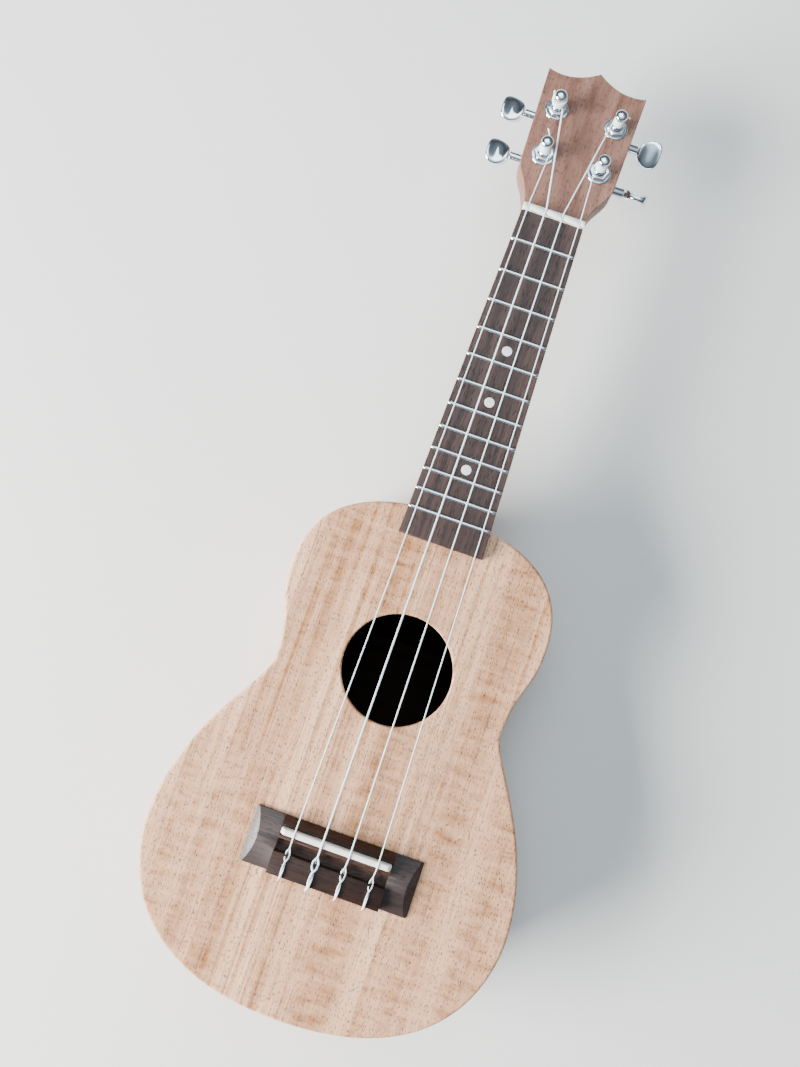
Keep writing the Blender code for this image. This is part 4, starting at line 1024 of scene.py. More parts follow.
TOP_LOW, TOP_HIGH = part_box("top_plate")
BACK_LOW, BACK_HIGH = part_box("back_plate")
TAIL_Y, BODY_END_Y = TOP_LOW.y, TOP_HIGH.y
FACE_Z = TOP_HIGH.z
NUT_LOW, NUT_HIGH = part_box("nut")
BOARD_LOW, BOARD_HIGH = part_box("fretboard")
FRET_LOW, FRET_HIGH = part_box(f"fret_{BODY_FRET:02d}")
BODY_FRET_Y = (FRET_LOW.y + FRET_HIGH.y) / 2.0
SCALE_START_Y = BODY_FRET_Y + SCALE_LENGTH * scale_share(BODY_FRET)
BRIDGE_LOW, BRIDGE_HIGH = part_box("bridge")
SADDLE_LOW, SADDLE_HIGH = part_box("saddle")


def half_outline(steps):
    """The body's edge on the treble side, from the tail's middle to the neck end's middle."""
    lower = TOP_HIGH.x
    lower_y = TAIL_Y + LOWER_BOUT_FROM_TAIL
    waist_y = TAIL_Y + WAIST_FROM_TAIL
    upper_y = TAIL_Y + UPPER_BOUT_FROM_TAIL
    points = bezier(
        (0.0, TAIL_Y),
        (TAIL_FULLNESS * lower, TAIL_Y),
        (lower, lower_y - LOWER_BOUT_FULLNESS[0] * LOWER_BOUT_FROM_TAIL),
        (lower, lower_y),
        2 * steps,
    )
    points += bezier(
        (lower, lower_y),
        (lower, lower_y + LOWER_BOUT_FULLNESS[1] * (waist_y - lower_y)),
        (WAIST_HALF_WIDTH, waist_y - WAIST_FULLNESS[0] * (waist_y - lower_y)),
        (WAIST_HALF_WIDTH, waist_y),
        steps,
    )
    points += bezier(
        (WAIST_HALF_WIDTH, waist_y),
        (WAIST_HALF_WIDTH, waist_y + WAIST_FULLNESS[1] * (upper_y - waist_y)),
        (UPPER_BOUT_HALF_WIDTH, upper_y - UPPER_BOUT_FULLNESS[0] * (upper_y - waist_y)),
        (UPPER_BOUT_HALF_WIDTH, upper_y),
        steps,
    )
    points += bezier(
        (UPPER_BOUT_HALF_WIDTH, upper_y),
        (UPPER_BOUT_HALF_WIDTH, upper_y + UPPER_BOUT_FULLNESS[1] * (BODY_END_Y - upper_y)),
        (NECK_END_FULLNESS * UPPER_BOUT_HALF_WIDTH, BODY_END_Y),
        (0.0, BODY_END_Y),
        2 * steps,
    )
    return points + [(0.0, BODY_END_Y)]


EDGE = half_outline(OUTLINE_STEPS)
WHOLE_EDGE = EDGE + [(-x, y) for x, y in reversed(EDGE[1:-1])]
HOLE_Y = BODY_FRET_Y - HOLE_BELOW_BODY_FRET


def shifted(points, distance):
    """An open half outline moved inwards, square to itself."""
    moved = []
    for index, (x, y) in enumerate(points):
        before = Vector(points[max(index - 1, 0)])
        after = Vector(points[min(index + 1, len(points) - 1)])
        along = (after - before).normalized()
        moved.append((x - along.y * distance, y + along.x * distance))
    moved[0] = (0.0, points[0][1] + distance)
    moved[-1] = (0.0, points[-1][1] - distance)
    return moved


def make_body():
    hole = circle(HOLE_RADIUS, 96, y=HOLE_Y)
    top = plate(
        "soundboard",
        WHOLE_EDGE,
        [hole],
        edge_levels(TOP_LOW.z, TOP_HIGH.z, 0.0, TOP_ROUNDING),
        edge_levels(TOP_LOW.z, TOP_HIGH.z, 0.2 * MM, HOLE_ROUNDING, 4),
        TOP_WOOD,
    )
    finished(top, "instrument", "soundboard_wood", "top_plate")
    back = plate(
        "back",
        WHOLE_EDGE,
        [],
        edge_levels(BACK_LOW.z, BACK_HIGH.z, BACK_ROUNDING, 0.0),
        [],
        BACK_WOOD,
    )
    # The back's inner face gets the near-black inner wood: painted shade inside the body
    back.data.materials.append(INNER_PAINTED_SHADE)
    for face in back.data.polygons:
        if face.normal.z > 0.9:
            face.material_index = 1
    finished(back, "instrument", "body_wood", "back_plate")
    height = TOP_LOW.z - BACK_HIGH.z
    middle = (TOP_LOW.z + BACK_HIGH.z) / 2.0
    line = shifted(EDGE, RIB_THICKNESS / 2.0)
    for name, side in (("bass", -1.0), ("treble", 1.0)):
        start = path_mesh(f"rib_line_{name}", [(side * x, y, middle) for x, y in line])
        rib = grown(
            f"rib_{name}",
            STRIP,
            start,
            Thickness=RIB_THICKNESS,
            Height=height,
            Material=RIB_WOOD,
        )
        finished(rib, "instrument", "body_wood", f"side_{name}")


def make_linings():
    """Block linings along the ribs, which stop short of the blocks on the centre line."""
    line = shifted(EDGE, RIB_THICKNESS + LINING_OFF_RIB + LINING_THICKNESS / 2.0)
    inside = [point for point in line if point[0] > LINING_OFF_MIDDLE]
    for node in ("back_lining", "top_lining"):
        for name, side in (("bass", -1.0), ("treble", 1.0)):
            low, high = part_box(f"{node}_{name}")
            middle = (low.z + high.z) / 2.0
            start = path_mesh("lining_line", [(side * x, y, middle) for x, y in inside])
            # The linings get the near-black inner wood: painted shade inside the body
            blocks = grown(
                f"{node}_blocks_{name}",
                KERFED,
                start,
                Thickness=LINING_THICKNESS,
                Height=LINING_HEIGHT,
                Material=INNER_PAINTED_SHADE,
            )
            finished(blocks, "instrument", "inner_wood", f"{node}_{name}")


# ---------------------------------------------------------------- neck


def head_frame(name):
    """A tuner's own frame, on its post's axis: X across, Y along the headstock, Z off its face."""
    joint = JOINTS[f"{name}_post_turn"]
    off = Vector(joint["axis"]).normalized()
    along = Vector((0.0, off.z, -off.y))
    place = Vector(joint["pos_m"]) + off * SHAFT_BELOW_FACE
    made = Matrix(((1.0, along.x, off.x), (0.0, along.y, off.y), (0.0, along.z, off.z)))
    return Matrix.Translation(place) @ made.to_4x4()


HEADSTOCK_Y = NUT_HIGH.y + 0.4 * MM
HEAD = head_frame("g")
# The frame moved back along the headstock to where its face begins, on the centre line
HEAD_START = Matrix.Translation(
    HEAD.to_3x3() @ Vector((0.0, -(HEAD.translation.y - HEADSTOCK_Y) / HEAD[1][1], 0.0))
) @ HEAD
HEAD_START.translation.x = 0.0


def along_head(name):
    """How far up the headstock and off its centre line a tuner's post stands."""
    local = HEAD_START.inverted() @ head_frame(name).translation
    return local.x, local.y


def board_half_width(y):
    """The fretboard's half width, from its box at its wide end and the nut's at its narrow end."""
    narrow, wide = NUT_HIGH.x, BOARD_HIGH.x
    share = (NUT_LOW.y - y) / (NUT_LOW.y - BOARD_LOW.y)
    return narrow + (wide - narrow) * share


def neck_ring(y, half_width, depth, top, foot, steps=44):
    """A D-shaped ring with a flat top; foot cuts its lowest part flat."""
    ring = [(half_width, y, top)]
    for index in range(steps + 1):
        turn = math.pi * index / steps
        across = squared(math.cos(turn), 0.8)
        down = min(math.sin(turn) / foot, 1.0)
        ring.append((half_width * across, y, top - NECK_LIP - (depth - NECK_LIP) * down))
    ring.append((-half_width, y, top))
    return ring


def eased_between(keys, at):
    """A smooth value between rows of (place, value), held beyond the ends."""
    if at <= keys[0][0]:
        return keys[0][1]
    for (start, first), (end, second) in zip(keys, keys[1:]):
        if at <= end:
            share = (at - start) / (end - start)
            share = share * share * (3.0 - 2.0 * share)
            return first + (second - first) * share
    return keys[-1][1]


def headstock_outline():
    nut_half = NUT_HIGH.x
    shoulder = HEADSTOCK_HALF_SHOULDER
    middle = ((nut_half + shoulder) / 2.0, 0.54 * HEADSTOCK_SHOULDER)
    right = bezier(
        (nut_half, 0.0),
        (nut_half + 0.7 * MM, 0.22 * HEADSTOCK_SHOULDER),
        (middle[0] - 2.3 * MM, middle[1] - 0.15 * HEADSTOCK_SHOULDER),
        middle,
        12,
    )
    right += bezier(
        middle,
        (middle[0] + 2.3 * MM, middle[1] + 0.15 * HEADSTOCK_SHOULDER),
        (shoulder - 0.3 * MM, 0.80 * HEADSTOCK_SHOULDER),
        (shoulder, HEADSTOCK_SHOULDER),
        14,
    )
    right.append((shoulder, HEADSTOCK_SHOULDER))
    # The tip's scallop is a parabola through the corner and the peak, lowest between them
    corner, low_x = HEADSTOCK_HALF_TIP, HEADSTOCK_SCALLOP_LOW
    curvature = (HEADSTOCK_LENGTH - HEADSTOCK_CORNER) / (low_x**2 - (corner - low_x) ** 2)
    low_y = HEADSTOCK_LENGTH - curvature * low_x**2
    for index in range(33):
        x = corner * (1.0 - index / 32.0)
        right.append((x, low_y + curvature * (x - low_x) ** 2))
    return right + [(-x, y) for x, y in reversed(right) if x > 0.0]


def make_neck():
    start = BODY_END_Y - 1.2 * MM
    end = HEADSTOCK_Y
    sections = []
    stations = [start + HEEL_LENGTH * 1.1 * (index / 34.0) ** 1.5 for index in range(35)]
    first_plain = stations[-1]
    stations += [first_plain + (end - first_plain) * index / 12.0 for index in range(1, 12)]
    for y in stations:
        share = (y - start) / (end - start)
        plain = NECK_DEPTH_AT_HEEL + (NECK_DEPTH_AT_NUT - NECK_DEPTH_AT_HEEL) * share
        heel = max(0.0, 1.0 - (y - start) / HEEL_LENGTH) ** 2.6
        depth = plain + (HEEL_DEPTH - plain) * heel
        foot = 1.0 - (1.0 - HEEL_FOOT) * heel
        sections.append(neck_ring(y, board_half_width(y), depth, FACE_Z, foot))
    buried = 1.5 * MM
    tilt = math.atan2(-HEAD[2][1], HEAD[1][1])
    narrower = ((0.0, 0.0), (0.003, 0.0003), (0.009, 0.0015), (0.016, 0.0060))
    shallower = ((0.0, 0.0), (0.003, 0.0004), (0.009, 0.0013), (0.016, 0.0030))
    for index in range(1, 17):
        ahead = 16.0 * MM * index / 16.0
        half_width = NUT_HIGH.x - eased_between(narrower, ahead)
        depth = NECK_DEPTH_AT_NUT - buried - eased_between(shallower, ahead)
        top = FACE_Z - buried - ahead * math.tan(tilt)
        sections.append(neck_ring(HEADSTOCK_Y + ahead, half_width, depth, top, 1.0))
    neck = lofted("neck_and_headstock", sections, NECK_WOOD)
    holes = []
    for name, *_ in TUNERS:
        x, along = along_head(name)
        holes.append(circle(POST_RADIUS + 1.8 * MM, 40, x, along))
    blank = plate(
        "headstock_blank",
        headstock_outline(),
        holes,
        edge_levels(-HEADSTOCK_THICKNESS, 0.0, HEADSTOCK_EASING, HEADSTOCK_EASING, 3),
        edge_levels(-HEADSTOCK_THICKNESS, 0.0, 0.0, 0.0),
        NECK_WOOD,
        HEAD_START,
    )
    cut_or_joined(neck, blank, "UNION")
    finished(neck, "instrument", "neck_wood", "neck", sharp=40.0)


def make_fretboard():
    low, high = FACE_Z, BOARD_HIGH.z
    wide, narrow = board_half_width(BOARD_LOW.y), NUT_HIGH.x
    outline = [
        (wide, BOARD_LOW.y),
        (narrow, BOARD_HIGH.y),
        (-narrow, BOARD_HIGH.y),
        (-wide, BOARD_LOW.y),
    ]
    board = plate(
        "fretboard_face", outline, [], edge_levels(low, high, 0.0, 0.3 * MM, 3), [], BOARD_WOOD
    )
    finished(board, "instrument", "dark_wood", "fretboard")
    slope = (BOARD_HIGH.x - NUT_HIGH.x) / (NUT_LOW.y - BOARD_LOW.y)
    frets = grown(
        "fret_wires",
        FRETS,
        path_mesh("fret_start", [(0.0, 0.0, 0.0)]),
        Scale_Start=SCALE_START_Y,
        Width_At_Start=2.0 * board_half_width(SCALE_START_Y) - 0.3 * MM,
        Width_A_Metre=2.0 * slope,
        Board_Height=high - 0.02 * MM,
        Wire_Height=FRET_HIGH.z - high,
        Material=FRET_METAL,
    )
    nodes = [f"fret_{number:02d}" for number in range(1, FRET_COUNT + 1)]
    finished(frets, "instrument", "fret_metal", *nodes, sharp=50.0)
    dot = turned(
        "dot",
        [(0.0, 0.06 * MM), (DOT_RADIUS * 0.94, 0.05 * MM), (DOT_RADIUS, 0.0), (DOT_RADIUS, -MM)]
        + [(0.0, -MM)],
        DOT_PLASTIC,
        sides=48,
    )
    places = []
    for fret in DOT_FRETS:
        shares = (scale_share(fret - 1), scale_share(fret))
        sides = [SCALE_START_Y - SCALE_LENGTH * share for share in shares]
        places.append(Vector((0.0, sum(sides) / 2.0, high)))
    dots = repeated("position_dots", dot, places, [(0.0, 0.0, 0.0)] * 3, DOT_PLASTIC)
    finished(dots, "instrument", "bone")


def repeated(name, piece, places, turns, material):
    """Copies of a small piece at the given places, as one mesh; the small piece is used up."""
    start = path_mesh(name + "_places", places)
    attribute = start.attributes.new("turn", "FLOAT_VECTOR", "POINT")
    for entry, turn in zip(attribute.data, turns):
        entry.vector = turn
    made = grown(name, REPEAT, start, Piece=piece, Material=material)
    bpy.data.objects.remove(piece, do_unlink=True)
    return made


# ---------------------------------------------------------------- nut, bridge, saddle, strings


def make_nut_and_bridge():
    nut = copy_of("nut", "string_nut", BONE, 0.15 * MM)
    finished(nut, "instrument", "bone", "nut", sharp=50.0)
    bridge = copy_of("bridge", "tie_bridge", BRIDGE_WOOD, 0.2 * MM)
    # Faces out past the saddle's ends take the paler wing wood, a painted sheen on the wings
    bridge.data.materials.append(WING_PAINTED_SHEEN)
    for face in bridge.data.polygons:
        if abs(face.center.x) > SADDLE_HIGH.x + 1.4 * MM:
            face.material_index = 1
    finished(bridge, "instrument", "dark_wood", "bridge", sharp=30.0)
    low, high = SADDLE_LOW, SADDLE_HIGH
    half, corner = high.x, (high.z - low.z) * 0.42
    outline = [(-half, low.z), (half, low.z)]
    for turn in quarter_turn(12):
        outline.append(
            (half - corner * (1.0 - math.cos(turn)), high.z - corner * (1.0 - math.sin(turn)))
        )
    outline += [(-x, z) for x, z in reversed(outline[2:])]
    thick = high.y - low.y
    upright = Matrix(((1, 0, 0, 0), (0, 0, -1, (low.y + high.y) / 2.0), (0, 1, 0, 0), (0, 0, 0, 1)))
    saddle = plate(
        "bone_saddle",
        outline,
        [],
        edge_levels(-thick / 2.0, thick / 2.0, 0.7 * MM, 0.7 * MM, 4),
        [],
        BONE,
        upright,
    )
    finished(saddle, "instrument", "bone", "saddle")


def string_x(index, spacing):
    return (index - (len(STRING_NAMES) - 1) / 2.0) * spacing


def tie_path(x, radius, hole_z, rear_y, block_front_y, top_z, string_at):
    """Up behind the block, over it as two strands that cross, and round the string in an eye."""
    tip_y = block_front_y + 2.4 * MM + 1.6 * radius
    length = tip_y - rear_y
    cross = (block_front_y - 3.0 * MM - rear_y) / length
    pair_spread, eye_spread = 1.15 * radius, 2.9 * radius
    tip_z = string_at(tip_y) - 2.0 * radius

    def strand(share, sign):
        y = rear_y + length * share
        if share < cross:
            turn = math.pi * share / cross
            side = sign * pair_spread * math.sin(turn) ** 0.8
            height = top_z + radius * (2.0 + sign * math.cos(turn))
        else:
            turn = math.pi * (share - cross) / (1.0 - cross)
            side = -sign * eye_spread * math.sin(turn) ** 0.7
            rise = 0.5 + 0.5 * math.cos(turn)
            height = tip_z + (top_z + radius * (2.0 - sign) - tip_z) * rise
            height = max(height, min(tip_z + 3.0 * radius, top_z + radius))
        return Vector((x + side, y, height))

    shares = [index / 40 for index in range(1, 40)]
    behind_y = rear_y - radius - 0.1 * MM
    path = [
        Vector((x, behind_y, hole_z + 0.5 * MM)),
        Vector((x, behind_y, top_z - 0.3 * MM)),
        Vector((x, rear_y - radius * 0.4, top_z + 1.6 * radius)),
    ]
    path += [strand(share, 1.0) for share in shares]
    path.append(Vector((x, tip_y + radius, tip_z)))
    path += [strand(share, -1.0) for share in reversed(shares)]
    path.append(Vector((x - 0.6 * radius, rear_y - 0.7 * MM, top_z + 0.6 * radius)))
    path.append(Vector((x - 1.2 * radius, rear_y - 1.6 * MM, top_z - 0.4 * MM)))
    return path


def smooth_line(points, step):
    """Points closely spaced on a smooth curve through the given ones."""
    points = [Vector(point) for point in points]
    made = []
    for index in range(len(points) - 1):
        before = points[max(index - 1, 0)]
        start, end = points[index], points[index + 1]
        after = points[min(index + 2, len(points) - 1)]
        count = max(1, int((end - start).length / step))
        for part in range(count):
            t = part / count
            made.append(
                0.5
                * (
                    2.0 * start
                    + (end - before) * t
                    + (2.0 * before - 5.0 * start + 4.0 * end - after) * t * t
                    + (3.0 * start - before - 3.0 * end + after) * t**3
                )
            )
    made.append(points[-1])
    return made


def make_strings():
    rear_y, top_z = BRIDGE_LOW.y, BRIDGE_HIGH.z
    hole_z = BRIDGE_LOW.z + TIE_HOLE_HEIGHT
    saddle_y = (SADDLE_LOW.y + SADDLE_HIGH.y) / 2.0
    block_front_y = SADDLE_LOW.y - SADDLE_LEDGE - TROUGH_LENGTH
    for index, name in enumerate(STRING_NAMES):
        radius = STRING_DIAMETERS[index] / 2.0
        over_saddle = SADDLE_HIGH.z + OVER_SADDLE + radius
        over_nut = FRET_HIGH.z + OVER_FRETS + radius
        x = string_x(index, SPACING_AT_SADDLE)
        x_nut = string_x(index, SPACING_AT_NUT)
        post = head_frame(name)
        side = TUNERS[index][1]
        lowest_turn = WINDINGS[name][1][0]
        start = post @ Vector((-side * lowest_turn, 0.0, winding_low(radius)))

        def string_at(y, over_saddle=over_saddle):
            start = (block_front_y + HOLE_MOUTH, hole_z)
            stop = (SADDLE_LOW.y - BEHIND_SADDLE, over_saddle)
            share = (y - start[0]) / (stop[0] - start[0])
            return start[1] + (stop[1] - start[1]) * share

        # The string bears on the saddle and in the nut's slot, so it lies on both
        on_saddle = over_saddle - SADDLE_NOTCH
        on_nut = over_nut - NUT_SLOT
        route = [
            start,
            Vector((x_nut, NUT_HIGH.y, on_nut)),
            Vector((x_nut, NUT_LOW.y, on_nut)),
            Vector((x, saddle_y, on_saddle)),
            Vector((x, SADDLE_LOW.y - BEHIND_SADDLE, on_saddle - 0.1 * MM)),
            Vector((x, block_front_y + HOLE_MOUTH, hole_z)),
            Vector((x, rear_y + 1.0 * MM, hole_z)),
        ]
        tie = tie_path(x, radius, hole_z, rear_y, block_front_y, top_z, string_at)
        line = route + smooth_line(tie, 0.35 * MM)
        cord = grown(
            f"nylon_{name}",
            CORD,
            path_mesh("string_line", line),
            Diameter=2.0 * radius,
            Bend=0.7 * MM,
            Material=NYLON,
        )
        finished(cord, "instrument", "nylon", f"string_{name}", sharp=60.0)


# ---------------------------------------------------------------- tuners


def knob_ring(side, share, half_width, half_thickness, steps=40):
    ring = []
    for turn in full_turn(steps):
        across, up = squared(math.cos(turn), 0.75), squared(math.sin(turn), 0.60)
        ring.append((side * share * KNOB_LENGTH, half_width * across, half_thickness * up))
    return ring


KNOB_WIDTHS = (
    (0.0, 0.40), (0.03, 0.50), (0.16, 0.76), (0.34, 0.92), (0.52, 1.0),
    (0.70, 1.0), (0.86, 0.90), (0.95, 0.73), (0.985, 0.60), (1.0, 0.48),
)
KNOB_THICKNESSES = (
    (0.0, 0.74), (0.04, 0.96), (0.10, 1.0), (0.30, KNOB_WAIST + 0.12), (0.50, KNOB_WAIST),
    (0.70, KNOB_WAIST + 0.12), (0.88, 0.96), (0.95, 1.0), (0.985, 0.92), (1.0, 0.74),
)


def curve_at(keys, at):
    """A smooth curve through rows of (place, value)."""
    for index in range(len(keys) - 1):
        (start, first), (end, second) = keys[index], keys[index + 1]
        if at <= end or index == len(keys) - 2:
            before = keys[max(index - 1, 0)]
            after = keys[min(index + 2, len(keys) - 1)]
            into = (second - before[1]) / (end - before[0]) * (end - start)
            out = (after[1] - first) / (after[0] - start) * (end - start)
            t = (at - start) / (end - start)
            return (
                (2 * t**3 - 3 * t**2 + 1) * first
                + (t**3 - 2 * t**2 + t) * into
                + (-2 * t**3 + 3 * t**2) * second
                + (t**3 - t**2) * out
            )
    return keys[-1][1]


def make_knob(name, side, turn):
    joint = JOINTS[f"{name}_knob_turn"]
    place = Vector(joint["pos_m"])
    place.x = side * KNOB_START
    shares = [0.5 - 0.5 * math.cos(math.pi * index / 30.0) for index in range(31)]
    sections = [
        knob_ring(
            side,
            share,
            KNOB_HALF_WIDTH * curve_at(KNOB_WIDTHS, share),
            KNOB_HALF_THICKNESS * curve_at(KNOB_THICKNESSES, share),
        )
        for share in shares
    ]
    tilt = HEAD.to_3x3().to_4x4()
    spin = Matrix.Rotation(math.radians(turn), 4, "X")
    knob = lofted(f"{name}_knob", sections, CHROME, Matrix.Translation(place) @ tilt @ spin)
    finished(knob, f"{name}_knob", "tuner_chrome", f"{name}_tuner_knob", sharp=55.0)


def make_post(name):
    place = head_frame(name)
    foot = -HEADSTOCK_THICKNESS - CASE_DEPTH + 1.7 * MM
    above_gear = -SHAFT_BELOW_FACE + GEAR_THICKNESS / 2.0 + 0.3 * MM
    dome = [
        (POST_CAP * math.sin(turn), POST_HEIGHT - 2.0 * MM * (1.0 - math.cos(turn)))
        for turn in quarter_turn(10)
    ]
    profile = dome + rounded_profile(
        [
            (POST_CAP, POST_HEIGHT - 2.2 * MM),
            (POST_CAP * 0.86, POST_HEIGHT - 3.1 * MM),
            (POST_WAIST, POST_HEIGHT - 4.0 * MM),
            (POST_WAIST, COLLAR_HEIGHT + 1.0 * MM),
            (POST_RADIUS, COLLAR_HEIGHT + 0.3 * MM),
            (POST_RADIUS, above_gear),
            (POST_FOOT_RADIUS, above_gear),
            (POST_FOOT_RADIUS, foot),
            (0.0, foot),
        ],
        0.35 * MM,
    )
    post = turned(f"{name}_post_turned", profile, CHROME, sides=56)
    drill = turned(
        "post_drill",
        [(0.0, 5 * MM), (POST_HOLE_RADIUS, 5 * MM), (POST_HOLE_RADIUS, -5 * MM), (0.0, -5 * MM)],
        CHROME,
        Matrix.Translation((0.0, 0.0, POST_HOLE_HEIGHT)) @ Matrix.Rotation(math.pi / 2.0, 4, "Y"),
        sides=24,
    )
    cut_or_joined(post, drill, "DIFFERENCE")
    post.data.transform(place)
    finished(post, f"{name}_post", "tuner_chrome", f"{name}_string_post")


def winding_low(radius):
    """Where the lowest turn of a winding lies, off the headstock's face."""
    return COLLAR_HEIGHT + 1.3 * MM + radius


def make_winding(name, side):
    """Turns from the string's side of the post upwards, back down under them, and the cut end."""
    radius = STRING_DIAMETERS[STRING_NAMES.index(name)] / 2.0
    turns, radii, tail = WINDINGS[name]
    place = head_frame(name)
    low, high = winding_low(radius), POST_HEIGHT - 3.9 * MM
    keys = ((0.0, radii[0]), (0.5, radii[1]), (1.0, radii[2]))
    steps = int(turns * 28)
    start_angle = 0.0 if side < 0.0 else math.pi
    line = []
    for index in range(steps + 1):
        share = index / steps
        angle = start_angle - side * turns * 2.0 * math.pi * share
        reach = curve_at(keys, share)
        line.append((reach * math.cos(angle), reach * math.sin(angle), low + (high - low) * share))
    filler = []
    if max(radii) > POST_WAIST + 2.6 * radius:
        for x, y, z in reversed(line[4:-4]):
            shrink = 1.0 - 1.8 * radius / math.hypot(x, y)
            filler.append((x * shrink, y * shrink, z))
    end = Vector(tail)
    out = Vector((line[-1][0], line[-1][1], high + 0.2 * MM))
    middle = (out + end) / 2.0 + Vector((0.0, 0.0, 0.1 * MM))
    pieces = [line + [tuple(middle), tail]] + ([filler] if filler else [])
    for number, points in enumerate(pieces):
        wound = grown(
            f"{name}_winding_{number + 1}",
            CORD,
            path_mesh("winding_line", points),
            place,
            Diameter=2.0 * radius,
            Bend=0.2 * MM,
            Sides=10,
            Material=NYLON,
        )
        finished(wound, f"{name}_post", "nylon", sharp=60.0)


def make_bushing(name, turn):
    """A hexagon-headed bushing through the headstock, on a round washer."""
    place = head_frame(name)
    inner, tube = POST_RADIUS + 0.2 * MM, POST_RADIUS + 1.5 * MM
    bore, top = tube + 0.05 * MM, WASHER_THICKNESS * 1.5
    washer = turned(
        f"{name}_washer",
        rounded_profile(
            [
                (bore, WASHER_THICKNESS / 2.0),
                (bore, WASHER_THICKNESS),
                (WASHER_RADIUS - 0.5 * MM, WASHER_THICKNESS),
                (WASHER_RADIUS, WASHER_THICKNESS * 0.45),
                (WASHER_RADIUS, 0.02 * MM),
                (bore, 0.02 * MM),
                (bore, WASHER_THICKNESS * 0.4),
            ],
            0.25 * MM,
        ),
        CHROME,
        place,
        72,
        closed=True,
    )
    finished(washer, "instrument", "tuner_chrome")
    hexagon = []
    for corner in [math.radians(turn + 60.0 * index) for index in range(6)]:
        # Each corner is eased to a short arc
        for share in (-0.10, -0.05, 0.0, 0.05, 0.10):
            reach = HEX_RADIUS * (0.985 - 0.9 * share * share)
            angle = corner + share
            hexagon.append((reach * math.cos(angle), reach * math.sin(angle)))
    sleeve = turned(
        "bushing_sleeve",
        [
            (inner, WASHER_THICKNESS * 0.5),
            (inner, top),
            (tube, top),
            (tube, -HEADSTOCK_THICKNESS + MM),
            (inner, -HEADSTOCK_THICKNESS + MM),
        ],
        CHROME,
        sides=48,
        closed=True,
    )
    head = plate(
        f"{name}_hex_bushing",
        hexagon,
        [circle(inner, 48)],
        edge_levels(WASHER_THICKNESS, COLLAR_HEIGHT, 0.0, 0.55 * MM, 4),
        edge_levels(WASHER_THICKNESS, COLLAR_HEIGHT, 0.0, 0.35 * MM, 3),
        CHROME,
    )
    cut_or_joined(head, sleeve, "UNION")
    head.data.transform(place)
    finished(head, "instrument", "tuner_chrome", f"{name}_tuner_bushing")


def make_gear_and_worm(name, side):
    place = head_frame(name)
    tooth = 2.0 * math.pi / GEAR_TEETH
    flank = (GEAR_ROOT + GEAR_RADIUS) / 2.0
    # One tooth, as shares of its pitch and how far out each lies
    teeth = ((0.24, GEAR_ROOT), (0.20, flank), (0.15, GEAR_RADIUS))
    corners = [(-turn, radius) for turn, radius in teeth] + list(reversed(teeth))
    outline = []
    for index in range(GEAR_TEETH):
        middle = math.pi / 2.0 + (index + 0.5) * tooth
        for turn, radius in corners:
            angle = middle + turn * tooth
            outline.append((radius * math.cos(angle), radius * math.sin(angle)))
    bore = circle(POST_FOOT_RADIUS + 0.1 * MM, 32)
    half = GEAR_THICKNESS / 2.0
    levels = edge_levels(-half, half, 0.08 * MM, 0.08 * MM, 2)
    gear = plate(
        f"{name}_gear_wheel",
        outline,
        [bore],
        levels,
        levels,
        GEAR_BRASS,
        place @ Matrix.Translation((0.0, 0.0, -SHAFT_BELOW_FACE)),
    )
    finished(gear, f"{name}_post", "gear_brass", f"{name}_post_gear")
    joint = JOINTS[f"{name}_knob_turn"]
    shaft_place = Matrix.Translation(joint["pos_m"]) @ HEAD.to_3x3().to_4x4()
    outward = Matrix.Rotation(side * math.pi / 2.0, 4, "Y")
    knob_face = KNOB_START - abs(place.translation.x)
    worm_end = WORM_TURNS / 2.0 * WORM_PITCH + 0.7 * MM
    shaft = turned(
        f"{name}_worm_and_shaft",
        rounded_profile(
            [
                (0.0, knob_face + 4.4 * MM),
                (SHAFT_END_RADIUS, knob_face + 4.4 * MM),
                (SHAFT_END_RADIUS, knob_face - 0.6 * MM),
                (SHAFT_RADIUS, knob_face - 0.6 * MM),
                (SHAFT_RADIUS, worm_end + 0.2 * MM),
                (WORM_CORE_RADIUS, worm_end),
                (WORM_CORE_RADIUS, -worm_end),
                (0.0, -worm_end),
            ],
            0.12 * MM,
            3,
        ),
        SHAFT_STEEL,
        shaft_place @ outward,
        sides=40,
    )
    thread = grown(
        "worm_thread",
        THREAD,
        path_mesh("thread_start", [(0.0, 0.0, 0.0)]),
        shaft_place
        @ Matrix.Rotation(math.pi / 2.0, 4, "Y")
        @ Matrix.Translation((0.0, 0.0, -WORM_TURNS / 2.0 * WORM_PITCH)),
        Turns=WORM_TURNS,
        Low_Radius=THREAD_RADIUS,
        High_Radius=THREAD_RADIUS,
        Height=WORM_TURNS * WORM_PITCH,
        Diameter=THREAD_DIAMETER,
        Clockwise=False,
        Material=SHAFT_STEEL,
    )
    cut_or_joined(shaft, thread, "UNION")
    finished(shaft, f"{name}_knob", "shaft_steel", f"{name}_worm_shaft")


def make_case(name):
    case = copy_of(f"{name}_tuner_case", f"{name}_gear_cover", CHROME, 0.25 * MM)
    finished(case, "instrument", "tuner_chrome", f"{name}_tuner_case", sharp=30.0)


